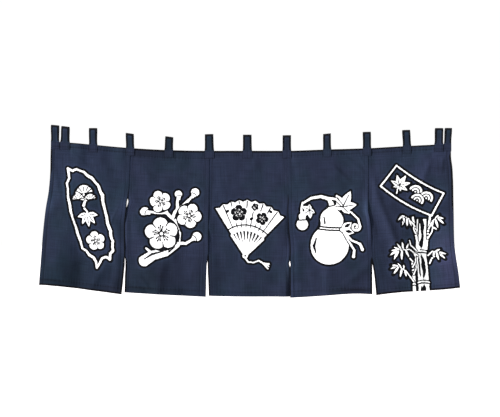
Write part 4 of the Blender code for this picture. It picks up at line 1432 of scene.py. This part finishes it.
def strap_tone_and_painted_light(loop, worn, width, z, sewn, from_side, from_top):
    """Tone by thirds, a painted highlight band below the top, and painted shade beside the sewn
    legs.
    """
    hems = HEMS[covered_layers(loop)[2].name]
    tone = np.interp(width, (0.20, 0.50, 0.80), (worn.left, worn.middle, worn.right))
    # Painted highlight: a lighter band just below the strap's dark top.
    shade = tone * (1.0 + 0.24 * bell(from_top - 0.0140, 0.0036))
    shade = 1.0 + (shade - 1.0) * (1.0 - sewn * (shade > 1.0))
    # Painted shade along both sides of the sewn legs.
    shade = shade * (1.0 - sewn * 0.32 * bell(from_side, 0.0028))
    # Painted shade of the top hem's stitching line, carried across the leg.
    return shade * (1.0 - hems.top_line * bell(z + hems.top - STITCH_INSET, LINE_REACH))


def make_loop(loop, worn):
    """A thin closed strap: path times width, with grooves where it is stitched."""
    path_y, path_z = loop_path(loop)
    width, row = np.meshgrid(STRAP_COLUMNS, np.arange(len(path_y)))
    y, z = path_y[row], path_z[row]
    height = loop.top_z - loop.foot_z
    lift = np.clip(z / height, 0.0, 1.0)
    aside, x = strap_outline(loop, worn, width, lift)
    points = np.stack((x, y, loop.foot_z + z + loop.slant * lift * aside), axis=-1)
    outward = grid_normals(points)
    if outward[2, 6, 1] > 0.0:
        outward = -outward
    seam = bell(np.minimum(width, 1.0 - width) - STRAP_SEAM, 0.022)
    low = (bell(z - BOX_LOW, ROW_REACH) + bell(z - BOX_HIGH, ROW_REACH)) * (np.abs(y) < 0.008)
    pull = SEAM_PULL * np.clip(seam + low, 0.0, 1.0)
    sewn = ease(0.002, -0.003, z)
    half = (0.5 * STRAP - FLATTER) * (1.0 - LEG_THIN * sewn)
    points = points - outward * (LEG_IN * sewn)[..., None]
    out = half + CROWN * np.sin(np.pi * width) - pull - 0.0003 * ease(0.012 - LEG, -LEG, z)
    length = np.concatenate(((0.0,), np.cumsum(np.hypot(np.diff(path_y), np.diff(path_z)))))
    from_side = np.minimum(width, 1.0 - width) * loop.width
    from_top = np.abs(height - z)
    # Distance for a rim of painted shade along the strap's sides and its top, kept off the sewn
    # legs.
    edge = np.minimum(from_side, 0.72 * from_top) + 0.0100 * ease(0.004, -0.002, z)
    shade = strap_tone_and_painted_light(loop, worn, width, z, sewn, from_side, from_top)
    item = closed_sheet("loop_" + loop.name[-2:], points + outward * out[..., None],
                        points - outward * (half - 0.3 * pull)[..., None], width,
                        length[row] / length[-1], (width * loop.width, length[row]),
                        {"edge": edge, "sewn": sewn}, shade, worn.violet * (1.0 - sewn))
    return item, length[-1]


made_loops = [make_loop(loop, worn) for loop, worn in zip(LOOPS, STRAPS)]
loops = [item for item, _ in made_loops]
print("strap lengths, mm:", [round(length * 1000) for _, length in made_loops])


# %% The straps' cotton
STRAP_EDGE_SHADE = (0.0080, 0.0064)      # metres from a strap's edge at which its rim of painted shade starts, is full


def strap_cloth():
    """A deeper navy with more green in it above the cloth, and the cloth's own where sewn down."""
    nodes = Nodes("navy_strap_cotton")
    metres, place, sewn = nodes.metres(), nodes.place(), nodes.kept("sewn")
    dye = navy_dye(nodes, metres, place, nodes.mix(sewn, STRAP_TEAL, NAVY_TEAL),
                   nodes.mix(sewn, STRAP_VIOLET, NAVY_VIOLET))
    dye = nodes.times(dye, nodes.kept("shade", "Color"))
    # Painted shade: a near-black rim along the strap's sides and top.
    edge_shade = nodes.ramp(nodes.kept("edge"), *STRAP_EDGE_SHADE, 0.0, 0.95)
    nodes.fill(nodes.shader.inputs["Base Color"], nodes.mix(edge_shade, dye, NAVY_DEEP_AND_EDGE_SHADE))
    cotton_finish(nodes, metres, place)
    return nodes.material


put_on(strap_cloth(), loops)
print("strap cotton on", len(loops), "loops")

# %% [markdown]
# ## Stitching
#
# The hems are closed with a running stitch in navy thread, about 3 mm a stitch. Each stitch
# is a short rounded dash that lies half in the cloth. There are thousands, so one small dash
# is worked out once and set down at every place in one array, in the frame of the surface
# there: along the line, across it, and out of the cloth.

# %% One stitch and many
STITCH_PITCH = 0.0034
STITCH_LENGTH = 0.0026
STITCH_HALF = 0.00034
STITCH_CORNERS = np.array([(end, *side) for end in (-0.5, 0.5)
                           for side in ((-1, 0), (0, -1), (1, 0), (0, 1))])
STITCH_QUADS = np.array(((0, 1, 5, 4), (1, 2, 6, 5), (2, 3, 7, 6), (3, 0, 4, 7), (3, 2, 1, 0),
                         (4, 5, 6, 7)))


def set_down_stitches(name, centres, along, outward):
    """Place a four-sided dash at each centre, turned to its line and to the surface there."""
    template = STITCH_CORNERS * (STITCH_LENGTH, STITCH_HALF, STITCH_HALF)
    centres, along, outward = (np.concatenate(rows) for rows in (centres, along, outward))
    along = unit(along)
    outward = unit(outward - along * np.sum(outward * along, axis=-1, keepdims=True))
    turned = np.stack((along, np.cross(outward, along), outward), axis=1)
    points = np.einsum("pk,nki->npi", template, turned) + centres[:, None, :]
    shift = np.arange(len(centres))[:, None, None] * len(template)
    quads = (STITCH_QUADS[None] + shift).reshape(-1, 4)
    return into_scene(name, mesh_from(name, points.reshape(-1, 3), quads))


def stitch_count(items):
    """How many dashes of six faces each the items hold."""
    return sum(len(item.data.polygons) // len(STITCH_QUADS) for item in items)


# %% Where the stitches of a panel run
LAP_INSET = 0.0019        # the sewn lap's stitching runs this far inside the front panel's edge
STITCH_OUT = 0.0001       # how far the middle of a stitch stands out of the cloth
STITCH_END = 0.002        # the rows stop this far from the cloth's edges


def stitch_lines(number):
    """Rows of points on the flat cloth, in metres, each with its direction: 0 across, 1 down."""
    panel, hems = PANELS[number], HEMS[PANELS[number].name]
    side, top, foot = (hem - STITCH_INSET for hem in (SIDE_HEM, hems.top, hems.foot))
    down_all = np.arange(STITCH_END, PANEL_DROP - STITCH_END, STITCH_PITCH)
    across_all = np.arange(0.0035, PANEL_WIDTH - STITCH_END, STITCH_PITCH)
    down_sewn = np.arange(STITCH_END, SEWN * PANEL_DROP, STITCH_PITCH)
    upright = [(side, down_all), (PANEL_WIDTH - side, down_all)]
    if panel.left_layer == -1:
        upright.append((LAP_INSET, down_sewn))
    if panel.right_layer == -1 and number < len(PANELS) - 1:
        upright.append((PANEL_WIDTH - LAP_INSET, down_sewn))
    rows = [(np.full_like(run, at), run, 1) for at, run in upright]
    level = [(across_all, np.full_like(across_all, at), 0) for at in (top, PANEL_DROP - foot)]
    return rows[:2] + level + rows[2:]


def panel_stitches(number):
    """Stitches on a panel's front and back, each turned to the cloth where it lies."""
    step = 0.0008
    centres, along, outward = [], [], []
    for x, z, direction in stitch_lines(number):
        across, down = x / PANEL_WIDTH, z / PANEL_DROP
        middle = panel_surface(number, across, down)
        right = panel_surface(number, across + step / PANEL_WIDTH, down) - middle
        under = panel_surface(number, across, down + step / PANEL_DROP) - middle
        normal = to_viewer(unit(np.cross(under, right)))
        pull = stitch_pull(PANELS[number], across, down)[:, None]
        centres += [middle + normal * (CLOTH_FRONT - pull + STITCH_OUT),
                    middle - normal * (CLOTH_BACK - 0.3 * pull + HEM_BACK + STITCH_OUT)]
        along += [under if direction else right] * 2
        outward += [normal, -normal]
    return set_down_stitches("stitching_" + PANELS[number].name[-1], centres, along, outward)


stitching = [panel_stitches(number) for number in range(len(PANELS))]
print("stitches on the panels:", stitch_count(stitching))


# %% Box stitching on the loops' legs
def loop_stitches(loop):
    """A box of stitches on each leg: two lines down and two across."""
    half_cloth, middle, _ = covered_layers(loop)
    half = 0.5 * loop.width * (1.0 - 2.0 * STRAP_SEAM)
    x_line = np.arange(-half, half, STITCH_PITCH) + 0.5 * STITCH_PITCH
    z_line = np.arange(BOX_LOW, BOX_HIGH, STITCH_PITCH) + 0.5 * STITCH_PITCH
    aside = np.concatenate((x_line, x_line, np.full_like(z_line, -half),
                            np.full_like(z_line, half)))
    height = np.concatenate((np.full_like(x_line, BOX_LOW), np.full_like(x_line, BOX_HIGH),
                             z_line, z_line))
    is_across = np.arange(len(aside)) < 2 * len(x_line)
    along = np.where(is_across[:, None], (1.0, 0.0, 0.0), (0.0, 0.0, 1.0))
    out = half_cloth + SEWN_DOWN - LEG_IN + 0.5 * STRAP * (1.0 - LEG_THIN)
    centres, outward = [], []
    for way in (-1.0, 1.0):
        y = np.full_like(aside, middle + way * out)
        centres.append(np.stack((loop.foot_x + aside, y, loop.foot_z + height), axis=-1))
        outward.append(np.broadcast_to((0.0, way, 0.0), along.shape))
    return set_down_stitches("sewing_" + loop.name[-2:], centres, (along, along), outward)


loop_sewing = [loop_stitches(loop) for loop in LOOPS]
print("stitches on the loops:", stitch_count(loop_sewing))


# %% Thread
def sewing_thread():
    """Twisted navy cotton thread, about as dark as the cloth."""
    nodes = Nodes("navy_thread", Roughness=0.8, Specular_IOR_Level=0.1)
    place = nodes.place()
    shade = nodes.ramp(nodes.noise(place, 220.0, 2.0), 0.3, 0.7)
    nodes.fill(nodes.shader.inputs["Base Color"], nodes.mix(shade, THREAD_DARK, THREAD_LIGHT))
    nodes.bump(nodes.noise(place, 1.0, 1.0, stretch=(2400.0, 2400.0, 2400.0)), 0.3, 0.0001)
    return nodes.material


put_on(sewing_thread(), stitching + loop_sewing)
print("thread on", len(stitching + loop_sewing), "sets of stitches")

# %% [markdown]
# ## Joining the dressed pieces to the frame
#
# Nothing on a curtain turns on a joint, so every piece rides on the one body. Each fine sheet
# stands for its solid, which is hidden.

# %% Ride and replace
hung_from = {number: [] for number in range(len(PANELS))}
sewn_on = {number: [] for number in range(len(PANELS))}
for loop, item, sewing in zip(LOOPS, loops, loop_sewing):
    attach(item, "root")
    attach(sewing, "root")
    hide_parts(loop.name)
    number = PANELS.index(covered_layers(loop)[2])
    hung_from[number].append(item)
    sewn_on[number].append(sewing)

for number, (panel, item, seams) in enumerate(zip(PANELS, cloths, stitching)):
    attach(item, "root")
    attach(seams, "root")
    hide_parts(panel.name)

# %% [markdown]
# ## Floor, light and camera
#
# The curtain hangs in a bright white studio over a pale floor. One large soft light stands far
# to the left and above, so that the left slopes of the folds are lighter and their right slopes
# darker. The room's even white light fills the rest. The camera looks straight at the cloth,
# level with its middle, from far enough away that the panels keep their true proportions.

# %% Floor
FLOOR_Z = -1.30
FLOOR_SIZE = 60.0
corners = np.array(((-1, -1), (1, -1), (1, 1), (-1, 1))) * 0.5 * FLOOR_SIZE
floor_points = np.column_stack((corners, np.full(4, FLOOR_Z)))
floor = into_scene("floor", mesh_from("floor", floor_points, np.array(((0, 1, 2, 3),))))
put_on(Nodes("pale_floor", Base_Color=(0.93, 0.93, 0.93, 1.0), Roughness=0.9,
             Specular_IOR_Level=0.1).material, [floor])
print("floor, m:", FLOOR_SIZE, "wide at", FLOOR_Z)

# %% Light
ROOM_LIGHT = 1.01
SUN_TOWARDS = (11.0, 5.1, -2.9)
world = bpy.data.worlds.new("white_studio")
world.use_nodes = True
world.node_tree.nodes["Background"].inputs["Color"].default_value = (1.0, 1.0, 1.0, 1.0)
world.node_tree.nodes["Background"].inputs["Strength"].default_value = ROOM_LIGHT
bpy.context.scene.world = world
bpy.context.scene.view_settings.view_transform = "Standard"


def soft_light(name, towards, spread_degrees, strength, colour):
    """A large soft light so far away that it comes from one direction all over the curtain."""
    lamp = bpy.data.lights.new(name, "SUN")
    lamp.angle = math.radians(spread_degrees)
    lamp.energy = strength
    lamp.color = colour
    item = into_scene(name, lamp)
    flat = math.hypot(towards[0], towards[1])
    item.rotation_euler = (math.atan2(flat, -towards[2]), 0.0, math.atan2(-towards[0], towards[1]))
    return item


soft_light("key_light", SUN_TOWARDS, 12.0, 10.5, (1.0, 0.91, 0.93))
print("light from", SUN_TOWARDS, "and from the room,", ROOM_LIGHT)

# %% Camera
METRES_PER_PIXEL = 0.340 / 81.5
FRAME_WIDTH = 500 * METRES_PER_PIXEL
CAMERA_AWAY = 5.5
MIDDLE_X, MIDDLE_Z = 0.0115, -0.2958
camera_data = bpy.data.cameras.new("camera")
camera_data.sensor_width = 36.0
camera_data.sensor_fit = "HORIZONTAL"
camera_data.lens = camera_data.sensor_width * CAMERA_AWAY / FRAME_WIDTH
camera_data.clip_end = 200.0
camera = into_scene("camera", camera_data)
camera.location = (MIDDLE_X, -CAMERA_AWAY, MIDDLE_Z)
camera.rotation_euler = (math.radians(90.0), 0.0, 0.0)
bpy.context.scene.camera = camera
print("frame width, m:", round(FRAME_WIDTH, 3), " lens, mm:", round(camera_data.lens, 1))
